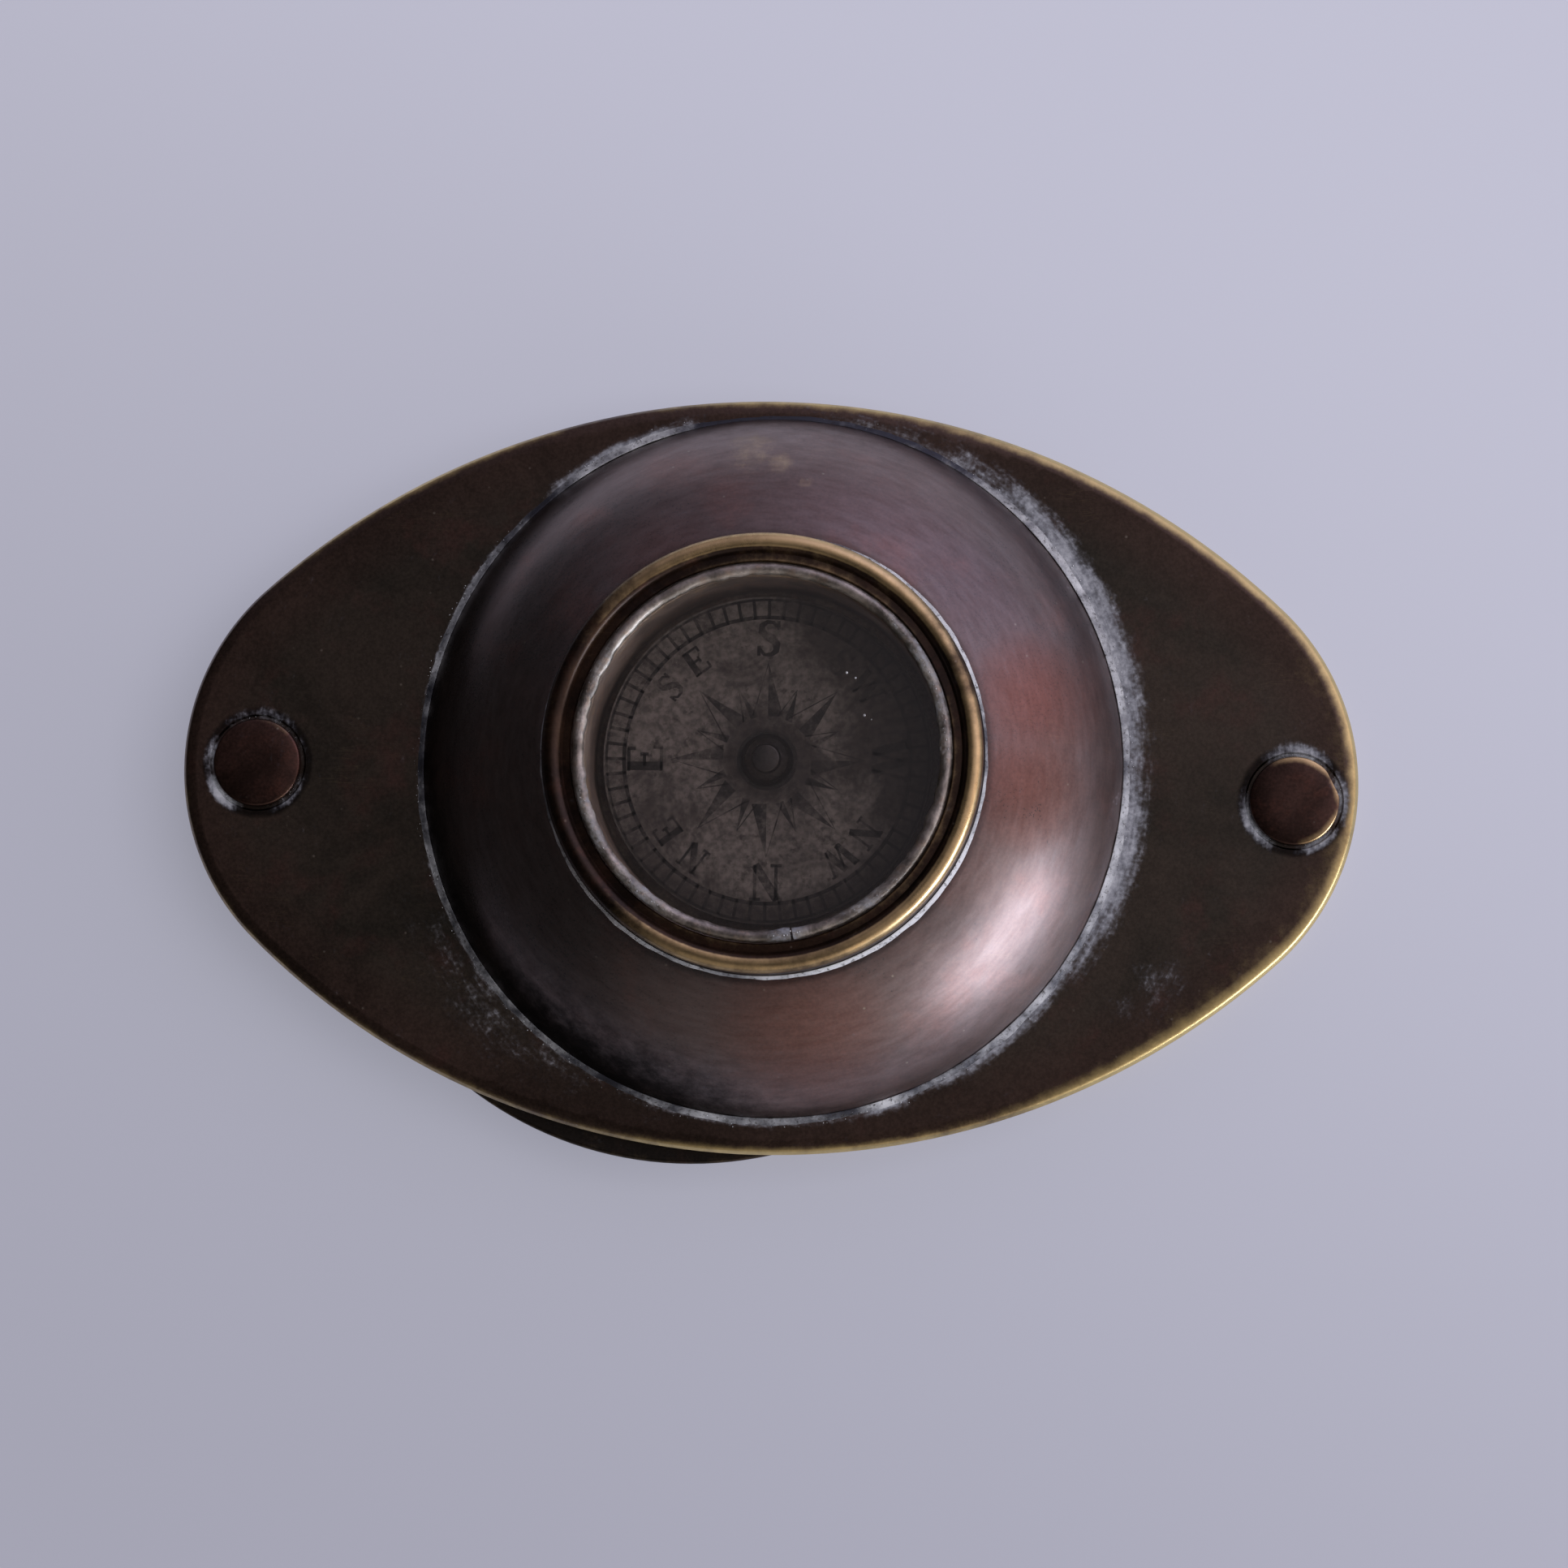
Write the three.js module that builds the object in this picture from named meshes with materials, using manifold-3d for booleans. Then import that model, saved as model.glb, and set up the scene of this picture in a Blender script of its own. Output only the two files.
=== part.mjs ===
// A pocket magnifier with a compass on its lid, in millimetres, +Z up.
// Two oval brass plates are riveted together at their ends. A round lens leaf swings out from between
// them on one rivet. A spun dome on the upper plate holds a small compass with a floating card.
// The origin is the middle of the lower plate's underside, and +X runs from the pivot to the far rivet.
import * as THREE from "three";
import { mergeVertices } from "three/addons/utils/BufferGeometryUtils.js";
import Module from "manifold-3d";

// Plates
const PLATE_WIDTH = 48.2; // across the middle of the oval
const PLATE_END_REACH = 15.15; // from the dome's foot to each tip of the oval
const PLATE_END_RADIUS = 15.3; // of the rounded tips
const PLATE_THICKNESS = 1.3;
const PLATE_EDGE_ROUND = 0.5;

// Rivets that hold the plates together
const PIVOT_INSET = 4.9; // from the pivot end's tip to its rivet
const FAR_INSET = 4.05; // from the far tip to its rivet
const FAR_RIVET_OFFSET = -0.95; // the far rivet was set a little off the long axis
const RIVET_HEAD_RADIUS = 2.8;
const RIVET_HEAD_HEIGHT = 0.5;
const RIVET_HEAD_CHAMFER = 0.15;
const RIVET_SHANK_RADIUS = 1.5;
const RIVET_TAIL_DEPTH = 0.7; // the tail is spread into a countersink under the lower plate
const RIVET_TAIL_SUNK = 0.05; // it is filed just below the face that the object rests on
const SLEEVE_WALL = 0.75; // spacer tubes round the rivets keep the plates apart
const WASHER_THICKNESS = 0.3;
const WASHER_WIDTH = 1.5;

// Lens leaf
const LEAF_MARGIN = 0.6; // the closed leaf's rim lies this far inside the plates' widest point
const LEAF_RIM_WALL = 4.4; // from the lens to the leaf's outer edge
const LEAF_OFFSET = -4.75; // the lens sits towards the pivot from the middle of the plates
const LEAF_EDGE_ROUND = 0.4;
const LEAF_LUG_WALL = 1.8; // metal round the pivot hole
const LEAF_LENS_RECESS = 0.2; // the lens lies this far inside the leaf's faces
const LEAF_SWING = 2.75; // degrees that the leaf stands open
const LENS_EDGE_THICKNESS = 1.4;
const LENS_CENTRE_THICKNESS = 4.2;
const LENS_LIP = 0.8; // seat under the lens, and the width of the ring above it
const LENS_RING_HEIGHT = 1;
const LENS_RING_SLOT = 1.2; // slots for the key that turns the ring

// Dome
const DOME_MARGIN = 1.75; // plate left free beside the dome at the widest point
const DOME_OFFSET_X = 0.4; // the dome was soldered a little off the plate's middle
const DOME_OFFSET_Y = 0.5;
const DOME_HEIGHT = 8;
const DOME_WALL = 0.9;
const DOME_BULGE = 20; // degrees between the dome's chord and its tangent at foot and neck
const SOLDER_WIDTH = 0.7; // solder round the dome's foot
const SOLDER_HEIGHT = 0.6;
const SOLDER_HOLLOW = 0.33; // share of its width and height left at the middle of its curve
const BEZEL_SOLDER_WIDTH = 0.3; // thin line of solder round the compass bezel
const BEZEL_SOLDER_HEIGHT = 0.25;

// Compass
const CARD_RADIUS = 10.3;
const CARD_THICKNESS = 0.3;
const CARD_CLEARANCE = 0.65; // free ring between the card and the bowl
const CARD_HEADING = 180.7; // degrees from +Y, anticlockwise from above, to the card's north point
const BOWL_WALL = 0.5;
const BOWL_FLOOR = 0.6;
const BOWL_FLANGE_WIDTH = 1.7;
const BOWL_FLANGE_THICKNESS = 0.5;
const BOWL_STANDOFF = 0.6; // air between the bowl and the upper plate
const GLASS_SEAT = 0.7; // the glass rests on this much of the bowl's flange
const GLASS_THICKNESS = 1;
const GLASS_RING_WIRE = 0.32; // radius of the sprung wire that holds the glass
const GLASS_RING_GAP = 1.2; // cut between the wire's two ends
const GLASS_RING_GAP_ANGLE = -79; // degrees from +X to the middle of that cut
const BEZEL_HEIGHT = 1.9; // above the bowl's flange
const BEZEL_SKIRT = 0.35; // wall that reaches down round the flange
const PIN_RADIUS = 0.35;
const PIN_HEIGHT = 3.3; // from the bowl's floor to the point
const PIN_POINT = 0.8; // length of the tapered point
const BOSS_WALL = 1;
const BOSS_HEIGHT = 0.8;
const CAP_RADIUS = 1.7;
const CAP_HEIGHT = 1.5;
const CAP_STEM_WALL = 0.4;
const CAP_STEM_LENGTH = 1.2; // below the card's upper face
const CAP_RECESS_RISE = 0.6; // the bearing's hollow reaches this far above the card's upper face
const MAGNET_LENGTH = 16;
const MAGNET_WIDTH = 3;
const MAGNET_THICKNESS = 0.5;

// Clearances
const RUNNING = 0.08; // round what turns
const FACE_PLAY = 0.1; // between the leaf and its washers
const FIT = 0.05; // between pieces that stay together
const BEARING_PLAY = 0.12; // between the pin's point and the top of the cap's hollow
const BEARING_ROOM = 0.25; // round the pin inside the cap's hollow

// Facets
const ROUND_SIDES = 48; // on the large turned pieces
const SMALL_SIDES = 20; // on rivets, tubes and washers
const ARC_STEPS = 5; // along a turned profile's curve
const OVAL_ARC_STEPS = 10; // along each of the oval's four arcs
const LEAF_ARC_STEPS = 24; // along the leaf's two arcs
const EDGE_STEPS = 1; // across a rounded edge
const WIRE_SIDES = 3; // on each half of the wire's round section
const WIRE_STEPS = 40;
const MERGE_TOLERANCE = 1e-4;
const CUT_PAST = 1; // a cutter runs this far past the face that it opens

// Sizes that follow from the ones above
const domeRadius = PLATE_WIDTH / 2 - DOME_MARGIN;
const plateLength = 2 * (domeRadius + PLATE_END_REACH);
const pivotX = PIVOT_INSET - plateLength / 2;
const farX = plateLength / 2 - FAR_INSET;

const sleeveBore = RIVET_SHANK_RADIUS + FIT;
const sleeveRadius = sleeveBore + SLEEVE_WALL;
const turningBore = sleeveRadius + RUNNING;
const leafThickness = LENS_CENTRE_THICKNESS + 2 * LEAF_LENS_RECESS;
const plateGap = leafThickness + 2 * (WASHER_THICKNESS + FACE_PLAY);
const leafRadius = PLATE_WIDTH / 2 - LEAF_MARGIN;
const leafBore = leafRadius - LEAF_RIM_WALL;
const lensRadius = leafBore - FIT;
const lensSeatRadius = lensRadius - LENS_LIP;
const lugRadius = turningBore + LEAF_LUG_WALL;
const pivotToLens = LEAF_OFFSET - pivotX;

const upperPlateBottom = PLATE_THICKNESS + plateGap;
const upperPlateTop = upperPlateBottom + PLATE_THICKNESS;
const leafMiddle = PLATE_THICKNESS + plateGap / 2;
const domeTop = upperPlateTop + DOME_HEIGHT;

const bowlBore = CARD_RADIUS + CARD_CLEARANCE;
const bowlRadius = bowlBore + BOWL_WALL;
const flangeRadius = bowlRadius + BOWL_FLANGE_WIDTH;
const flangeTop = domeTop + BOWL_FLANGE_THICKNESS;
const floorTop = upperPlateTop + BOWL_STANDOFF + BOWL_FLOOR;
const glassRadius = bowlBore + GLASS_SEAT;
const glassTop = flangeTop + GLASS_THICKNESS;
const bezelBore = glassRadius + FIT;
const bezelRadius = flangeRadius + FIT + BEZEL_SKIRT;
const domeNeck = bezelRadius + FIT + BEZEL_SOLDER_WIDTH;
const cardTop = floorTop + PIN_HEIGHT + BEARING_PLAY - CAP_RECESS_RISE;
const hollowRadius = PIN_RADIUS + BEARING_ROOM;
const stemRadius = hollowRadius + CAP_STEM_WALL;

// Materials
function metal(color, roughness) {
  return new THREE.MeshStandardMaterial({ color, roughness, metalness: 1 });
}
const darkBronze = metal(0x3a2d22, 0.45);
const brownBronze = metal(0x5a3a32, 0.35);
const wornBrass = metal(0x8a6a34, 0.35);
const paleSolder = metal(0x8c9099, 0.6);
const steel = metal(0x77777a, 0.35);
const cardPaper = new THREE.MeshStandardMaterial({ color: 0x57504b, roughness: 0.9 });
const clearGlass = new THREE.MeshStandardMaterial({
  color: 0xdfe6e2,
  roughness: 0.05,
  transparent: true,
  opacity: 0.35,
});

// Booleans
const wasm = await Module();
wasm.setup();

function solidOf(geometry) {
  const bare = geometry.clone();
  bare.deleteAttribute("normal");
  bare.deleteAttribute("uv");
  const merged = mergeVertices(bare, MERGE_TOLERANCE);
  return new wasm.Manifold(
    new wasm.Mesh({
      numProp: 3,
      vertProperties: merged.attributes.position.array,
      triVerts: new Uint32Array(merged.index.array),
    }),
  );
}

function geometryOf(solid) {
  const mesh = solid.getMesh();
  const geometry = new THREE.BufferGeometry();
  geometry.setAttribute("position", new THREE.BufferAttribute(mesh.vertProperties, 3));
  geometry.setIndex(new THREE.BufferAttribute(mesh.triVerts, 1));
  geometry.computeVertexNormals();
  return geometry;
}

function cut(geometry, ...cutters) {
  let solid = solidOf(geometry);
  for (const cutter of cutters) solid = solid.subtract(solidOf(cutter));
  return geometryOf(solid);
}

// Shapes
// Turns a closed profile of [radius, height] points about Z. The points run anticlockwise,
// with the radius to the right and the height upwards.
function turned(profile, sides) {
  const points = profile.map(([radius, height]) => new THREE.Vector2(radius, height));
  return new THREE.LatheGeometry([...points, points[0].clone()], sides).rotateX(Math.PI / 2);
}

function disc(radius, bottom, top, sides) {
  return turned([[0, bottom], [radius, bottom], [radius, top], [0, top]], sides);
}

function tube(bore, radius, bottom, top, sides) {
  return turned([[bore, bottom], [radius, bottom], [radius, top], [bore, top]], sides);
}

// Points along an arc of a profile, from one angle to another, measured from the radius direction.
function arcPoints(centreRadius, centreHeight, radius, from, to, steps) {
  const points = [];
  for (let step = 0; step <= steps; step += 1) {
    const angle = from + ((to - from) * step) / steps;
    points.push([centreRadius + radius * Math.cos(angle), centreHeight + radius * Math.sin(angle)]);
  }
  return points;
}

// An oval of four arcs that meet smoothly: two long sides and two round tips.
function ovalShape(length, width, tipRadius) {
  const tipCentre = length / 2 - tipRadius;
  const sideRadius = (tipCentre ** 2 + (width / 2) ** 2 - tipRadius ** 2) / (width - 2 * tipRadius);
  const sideCentre = sideRadius - width / 2;
  const meet = Math.atan2(sideCentre, tipCentre);
  const shape = new THREE.Shape();
  shape.absarc(tipCentre, 0, tipRadius, -meet, meet, false);
  shape.absarc(0, -sideCentre, sideRadius, meet, Math.PI - meet, false);
  shape.absarc(-tipCentre, 0, tipRadius, Math.PI - meet, Math.PI + meet, false);
  shape.absarc(0, sideCentre, sideRadius, Math.PI + meet, 2 * Math.PI - meet, false);
  return shape;
}

// A flat plate of the shape's own outline, with both edges rounded over.
function roundedPlate(shape, bottom, thickness, edgeRound, arcSteps) {
  const geometry = new THREE.ExtrudeGeometry(shape, {
    depth: thickness - 2 * edgeRound,
    bevelThickness: edgeRound,
    bevelSize: edgeRound,
    bevelOffset: -edgeRound,
    bevelSegments: EDGE_STEPS,
    curveSegments: arcSteps,
  });
  return geometry.translate(0, 0, bottom + edgeRound);
}

function ovalPlate(bottom) {
  const shape = ovalShape(plateLength, PLATE_WIDTH, PLATE_END_RADIUS);
  return roundedPlate(shape, bottom, PLATE_THICKNESS, PLATE_EDGE_ROUND, OVAL_ARC_STEPS);
}

function atPivot(geometry) {
  return geometry.translate(pivotX, 0, 0);
}

function atFarEnd(geometry) {
  return geometry.translate(farX, FAR_RIVET_OFFSET, 0);
}

// Plates and rivets
function upperPlate() {
  const hole = () => disc(RIVET_SHANK_RADIUS + FIT, 0, upperPlateTop + CUT_PAST, SMALL_SIDES);
  return cut(ovalPlate(upperPlateBottom), atPivot(hole()), atFarEnd(hole()));
}

// The hole for a rivet's tail widens at 45 degrees towards the underside.
function lowerPlate() {
  const bore = RIVET_SHANK_RADIUS + FIT;
  const hole = () =>
    turned(
      [
        [0, -CUT_PAST],
        [bore + RIVET_TAIL_DEPTH + CUT_PAST, -CUT_PAST],
        [bore, RIVET_TAIL_DEPTH],
        [bore, PLATE_THICKNESS + CUT_PAST],
        [0, PLATE_THICKNESS + CUT_PAST],
      ],
      SMALL_SIDES,
    );
  return cut(ovalPlate(0), atPivot(hole()), atFarEnd(hole()));
}

function rivet() {
  const headTop = upperPlateTop + RIVET_HEAD_HEIGHT;
  const tailRadius = RIVET_SHANK_RADIUS + RIVET_TAIL_DEPTH - RIVET_TAIL_SUNK;
  return turned(
    [
      [0, RIVET_TAIL_SUNK],
      [tailRadius, RIVET_TAIL_SUNK],
      [RIVET_SHANK_RADIUS, RIVET_TAIL_DEPTH],
      [RIVET_SHANK_RADIUS, upperPlateTop],
      [RIVET_HEAD_RADIUS, upperPlateTop],
      [RIVET_HEAD_RADIUS, headTop - RIVET_HEAD_CHAMFER],
      [RIVET_HEAD_RADIUS - RIVET_HEAD_CHAMFER, headTop],
      [0, headTop],
    ],
    SMALL_SIDES,
  );
}

function sleeve() {
  return tube(sleeveBore, sleeveRadius, PLATE_THICKNESS, upperPlateBottom, SMALL_SIDES);
}

function washer(bottom) {
  const radius = turningBore + WASHER_WIDTH;
  return atPivot(tube(turningBore, radius, bottom, bottom + WASHER_THICKNESS, SMALL_SIDES));
}

// Lens leaf, about its pivot and with the lens along +X
// Half the lens's thickness at a distance from its middle, on its two alike spherical faces.
function lensHalfThickness(distance) {
  const sag = (LENS_CENTRE_THICKNESS - LENS_EDGE_THICKNESS) / 2;
  const faceRadius = (lensRadius ** 2 + sag ** 2) / (2 * sag);
  return LENS_CENTRE_THICKNESS / 2 - faceRadius + Math.sqrt(faceRadius ** 2 - distance ** 2);
}

const lensSeat = lensHalfThickness(lensSeatRadius) + FIT;

// The leaf is drop-shaped: straight edges run from the lug round the pivot to the rim round the lens.
function leafShape() {
  const taper = Math.asin((leafRadius - lugRadius) / pivotToLens);
  const touch = Math.PI / 2 + taper;
  const shape = new THREE.Shape();
  shape.absarc(pivotToLens, 0, leafRadius, -touch, touch, false);
  shape.absarc(0, 0, lugRadius, touch, 2 * Math.PI - touch, false);
  return shape;
}

function lensFrame() {
  const bottom = leafMiddle - leafThickness / 2;
  const top = leafMiddle + leafThickness / 2;
  const blank = roundedPlate(leafShape(), bottom, leafThickness, LEAF_EDGE_ROUND, LEAF_ARC_STEPS);
  const lensBore = turned(
    [
      [0, bottom - CUT_PAST],
      [lensSeatRadius, bottom - CUT_PAST],
      [lensSeatRadius, leafMiddle - lensSeat],
      [leafBore, leafMiddle - lensSeat],
      [leafBore, top + CUT_PAST],
      [0, top + CUT_PAST],
    ],
    ROUND_SIDES,
  ).translate(pivotToLens, 0, 0);
  const pivotBore = disc(turningBore, bottom - CUT_PAST, top + CUT_PAST, SMALL_SIDES);
  return cut(blank, lensBore, pivotBore);
}

function lens() {
  const profile = [];
  for (let step = 0; step <= ARC_STEPS; step += 1) {
    const radius = (lensRadius * step) / ARC_STEPS;
    profile.push([radius, leafMiddle - lensHalfThickness(radius)]);
  }
  for (let step = ARC_STEPS; step >= 0; step -= 1) {
    const radius = (lensRadius * step) / ARC_STEPS;
    profile.push([radius, leafMiddle + lensHalfThickness(radius)]);
  }
  return turned(profile, ROUND_SIDES).translate(pivotToLens, 0, 0);
}

function lensRing() {
  const bottom = leafMiddle + lensSeat;
  const top = bottom + LENS_RING_HEIGHT;
  const ring = tube(lensSeatRadius, leafBore - FIT, bottom, top, ROUND_SIDES);
  const slot = new THREE.BoxGeometry(2 * (leafBore + CUT_PAST), LENS_RING_SLOT, LENS_RING_HEIGHT);
  return cut(ring, slot.translate(0, 0, top)).translate(pivotToLens, 0, 0);
}

// Dome, about the compass's axis
// The dome's wall is one arc from its foot to its neck.
function domeArc() {
  const chord = Math.hypot(domeRadius - domeNeck, DOME_HEIGHT);
  const slope = Math.atan2(domeRadius - domeNeck, DOME_HEIGHT);
  const bulge = THREE.MathUtils.degToRad(DOME_BULGE);
  const radius = chord / (2 * Math.sin(bulge));
  const foot = slope - bulge;
  const centreRadius = domeRadius - radius * Math.cos(foot);
  const centreHeight = upperPlateTop - radius * Math.sin(foot);
  return { radius, foot, neck: slope + bulge, centreRadius, centreHeight };
}

function domeRadiusAt(height) {
  const arc = domeArc();
  return arc.centreRadius + Math.sqrt(arc.radius ** 2 - (height - arc.centreHeight) ** 2);
}

function dome() {
  const arc = domeArc();
  const innerRadius = arc.radius - DOME_WALL;
  const bore = bowlRadius + FIT;
  const innerTop = domeTop - DOME_WALL;
  const innerFoot = Math.asin((upperPlateTop - arc.centreHeight) / innerRadius);
  const innerNeck = Math.asin((innerTop - arc.centreHeight) / innerRadius);
  return turned(
    [
      ...arcPoints(arc.centreRadius, arc.centreHeight, arc.radius, arc.foot, arc.neck, ARC_STEPS),
      [bore, domeTop],
      [bore, innerTop],
      ...arcPoints(arc.centreRadius, arc.centreHeight, innerRadius, innerNeck, innerFoot, ARC_STEPS),
    ],
    ROUND_SIDES,
  );
}

// The solder runs up the dome's foot and thins out along the plate in a hollow curve.
function domeSolder() {
  const inner = domeRadius + FIT;
  const height = upperPlateTop + SOLDER_HEIGHT;
  return turned(
    [
      [inner, upperPlateTop],
      [inner + SOLDER_WIDTH, upperPlateTop],
      [inner + SOLDER_HOLLOW * SOLDER_WIDTH, upperPlateTop + SOLDER_HOLLOW * SOLDER_HEIGHT],
      [domeRadiusAt(height) + FIT, height],
    ],
    ROUND_SIDES,
  );
}

function bezelSolder() {
  const inner = bezelRadius + FIT;
  return turned(
    [
      [inner, domeTop],
      [inner + BEZEL_SOLDER_WIDTH, domeTop],
      [inner, domeTop + BEZEL_SOLDER_HEIGHT],
    ],
    ROUND_SIDES,
  );
}

// Compass, about its own axis
function bowl() {
  const bottom = floorTop - BOWL_FLOOR;
  return turned(
    [
      [0, bottom],
      [bowlRadius, bottom],
      [bowlRadius, domeTop],
      [flangeRadius, domeTop],
      [flangeRadius, flangeTop],
      [bowlBore, flangeTop],
      [bowlBore, floorTop],
      [0, floorTop],
    ],
    ROUND_SIDES,
  );
}

// The bezel is a beaded ring: its inner face slopes up from the glass to the bead, and its skirt
// closes round the bowl's flange.
function bezel() {
  const skirtBore = flangeRadius + FIT;
  const bead = (bezelRadius - bezelBore) / 2;
  const crown = flangeTop + BEZEL_HEIGHT;
  const bowed = arcPoints(bezelRadius - bead, crown - bead, bead, 0, Math.PI / 2, ARC_STEPS);
  return turned(
    [
      [bezelBore, flangeTop],
      [skirtBore, flangeTop],
      [skirtBore, domeTop + FIT],
      [bezelRadius, domeTop + FIT],
      ...bowed,
      [bezelBore, glassTop + 2 * GLASS_RING_WIRE],
    ],
    ROUND_SIDES,
  );
}

function compassGlass() {
  return disc(glassRadius, flangeTop, glassTop, ROUND_SIDES);
}

// The sprung wire that holds the glass down is a circle with a small cut.
class WireArc extends THREE.Curve {
  constructor(radius, height) {
    super();
    this.radius = radius;
    this.height = height;
    this.cut = GLASS_RING_GAP / radius;
  }

  getPoint(share) {
    const start = THREE.MathUtils.degToRad(GLASS_RING_GAP_ANGLE) + this.cut / 2;
    const angle = start + share * (2 * Math.PI - this.cut);
    return new THREE.Vector3(this.radius * Math.cos(angle), this.radius * Math.sin(angle), this.height);
  }
}

function glassRing() {
  const section = new THREE.Shape();
  section.absarc(0, 0, GLASS_RING_WIRE, 0, 2 * Math.PI, false);
  const path = new WireArc(bezelBore - FIT - GLASS_RING_WIRE, glassTop + FIT + GLASS_RING_WIRE);
  return new THREE.ExtrudeGeometry(section, {
    extrudePath: path,
    steps: WIRE_STEPS,
    curveSegments: WIRE_SIDES,
    bevelEnabled: false,
  });
}

function pinBoss() {
  return tube(PIN_RADIUS + FIT, PIN_RADIUS + FIT + BOSS_WALL, floorTop, floorTop + BOSS_HEIGHT, SMALL_SIDES);
}

function pivotPin() {
  const point = floorTop + PIN_HEIGHT;
  return turned(
    [[0, floorTop], [PIN_RADIUS, floorTop], [PIN_RADIUS, point - PIN_POINT], [0, point]],
    SMALL_SIDES,
  );
}

function compassCard() {
  return tube(stemRadius + FIT, CARD_RADIUS, cardTop - CARD_THICKNESS, cardTop, ROUND_SIDES);
}

// A domed cap with a stem through the card. Its hollow sits on the pin's point.
function cardCap() {
  const stemBottom = cardTop - CAP_STEM_LENGTH;
  const hollowTop = cardTop + CAP_RECESS_RISE;
  const domed = [];
  for (let step = 0; step <= ARC_STEPS; step += 1) {
    const angle = (step / ARC_STEPS) * (Math.PI / 2);
    domed.push([CAP_RADIUS * Math.cos(angle), cardTop + CAP_HEIGHT * Math.sin(angle)]);
  }
  return turned(
    [
      [hollowRadius, stemBottom],
      [stemRadius, stemBottom],
      [stemRadius, cardTop],
      ...domed,
      [0, hollowTop],
      [hollowRadius, hollowTop - PIN_POINT],
    ],
    SMALL_SIDES,
  );
}

// A flat bar under the card with pointed ends, along its north and south points.
function magnetBar() {
  const half = MAGNET_LENGTH / 2;
  const bar = new THREE.Shape();
  bar.moveTo(0, half);
  bar.lineTo(-MAGNET_WIDTH / 2, half - MAGNET_WIDTH);
  bar.lineTo(-MAGNET_WIDTH / 2, MAGNET_WIDTH - half);
  bar.lineTo(0, -half);
  bar.lineTo(MAGNET_WIDTH / 2, MAGNET_WIDTH - half);
  bar.lineTo(MAGNET_WIDTH / 2, half - MAGNET_WIDTH);
  bar.closePath();
  const top = cardTop - CARD_THICKNESS;
  const flat = new THREE.ExtrudeGeometry(bar, { depth: MAGNET_THICKNESS, bevelEnabled: false });
  const hole = disc(stemRadius + FIT, top - MAGNET_THICKNESS - CUT_PAST, top + CUT_PAST, SMALL_SIDES);
  return cut(flat.translate(0, 0, top - MAGNET_THICKNESS), hole);
}

// Assembly
function piece(name, geometry, material) {
  const mesh = new THREE.Mesh(geometry, material);
  mesh.name = name;
  return mesh;
}

const plates = new THREE.Group();
plates.add(
  piece("lower_plate", lowerPlate(), darkBronze),
  piece("upper_plate", upperPlate(), darkBronze),
  piece("pivot_rivet", atPivot(rivet()), brownBronze),
  piece("far_rivet", atFarEnd(rivet()), brownBronze),
  piece("pivot_sleeve", atPivot(sleeve()), wornBrass),
  piece("far_sleeve", atFarEnd(sleeve()), wornBrass),
  piece("lower_washer", washer(PLATE_THICKNESS), wornBrass),
  piece("upper_washer", washer(upperPlateBottom - WASHER_THICKNESS), wornBrass),
);

const lensLeaf = new THREE.Group();
lensLeaf.position.set(pivotX, 0, 0);
lensLeaf.rotation.z = -THREE.MathUtils.degToRad(LEAF_SWING);
lensLeaf.add(
  piece("lens_frame", lensFrame(), darkBronze),
  piece("magnifier_lens", lens(), clearGlass),
  piece("lens_retaining_ring", lensRing(), wornBrass),
);

const floatingCard = new THREE.Group();
floatingCard.rotation.z = THREE.MathUtils.degToRad(CARD_HEADING);
floatingCard.add(
  piece("compass_card", compassCard(), cardPaper),
  piece("card_cap", cardCap(), wornBrass),
  piece("magnet_bar", magnetBar(), steel),
);

const compass = new THREE.Group();
compass.position.set(DOME_OFFSET_X, DOME_OFFSET_Y, 0);
compass.add(
  piece("compass_dome", dome(), brownBronze),
  piece("dome_solder", domeSolder(), paleSolder),
  piece("compass_bowl", bowl(), brownBronze),
  piece("compass_bezel", bezel(), wornBrass),
  piece("bezel_solder", bezelSolder(), paleSolder),
  piece("compass_glass", compassGlass(), clearGlass),
  piece("glass_retaining_ring", glassRing(), paleSolder),
  piece("pin_boss", pinBoss(), wornBrass),
  piece("pivot_pin", pivotPin(), steel),
  floatingCard,
);

const compassMagnifier = new THREE.Group();
compassMagnifier.add(plates, lensLeaf, compass);

export default compassMagnifier;
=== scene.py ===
# %% [markdown]
# # A pocket magnifier with a compass on its lid
#
# The object is a riveted brass sandwich: two oval plates, a lens leaf that swings out from between them,
# and a spun dome that carries a small card compass under glass. The metal is old, so most of what the eye
# reads is finish: a dark patina, brass worn bright along the edges, and pale polish dried in the corners.
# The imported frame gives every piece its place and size, and each step below dresses one part of it.

# %% Load the frame
import math

import bmesh
import bpy
from mathutils import Matrix, Vector, noise
from mathutils.geometry import delaunay_2d_cdt


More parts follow.
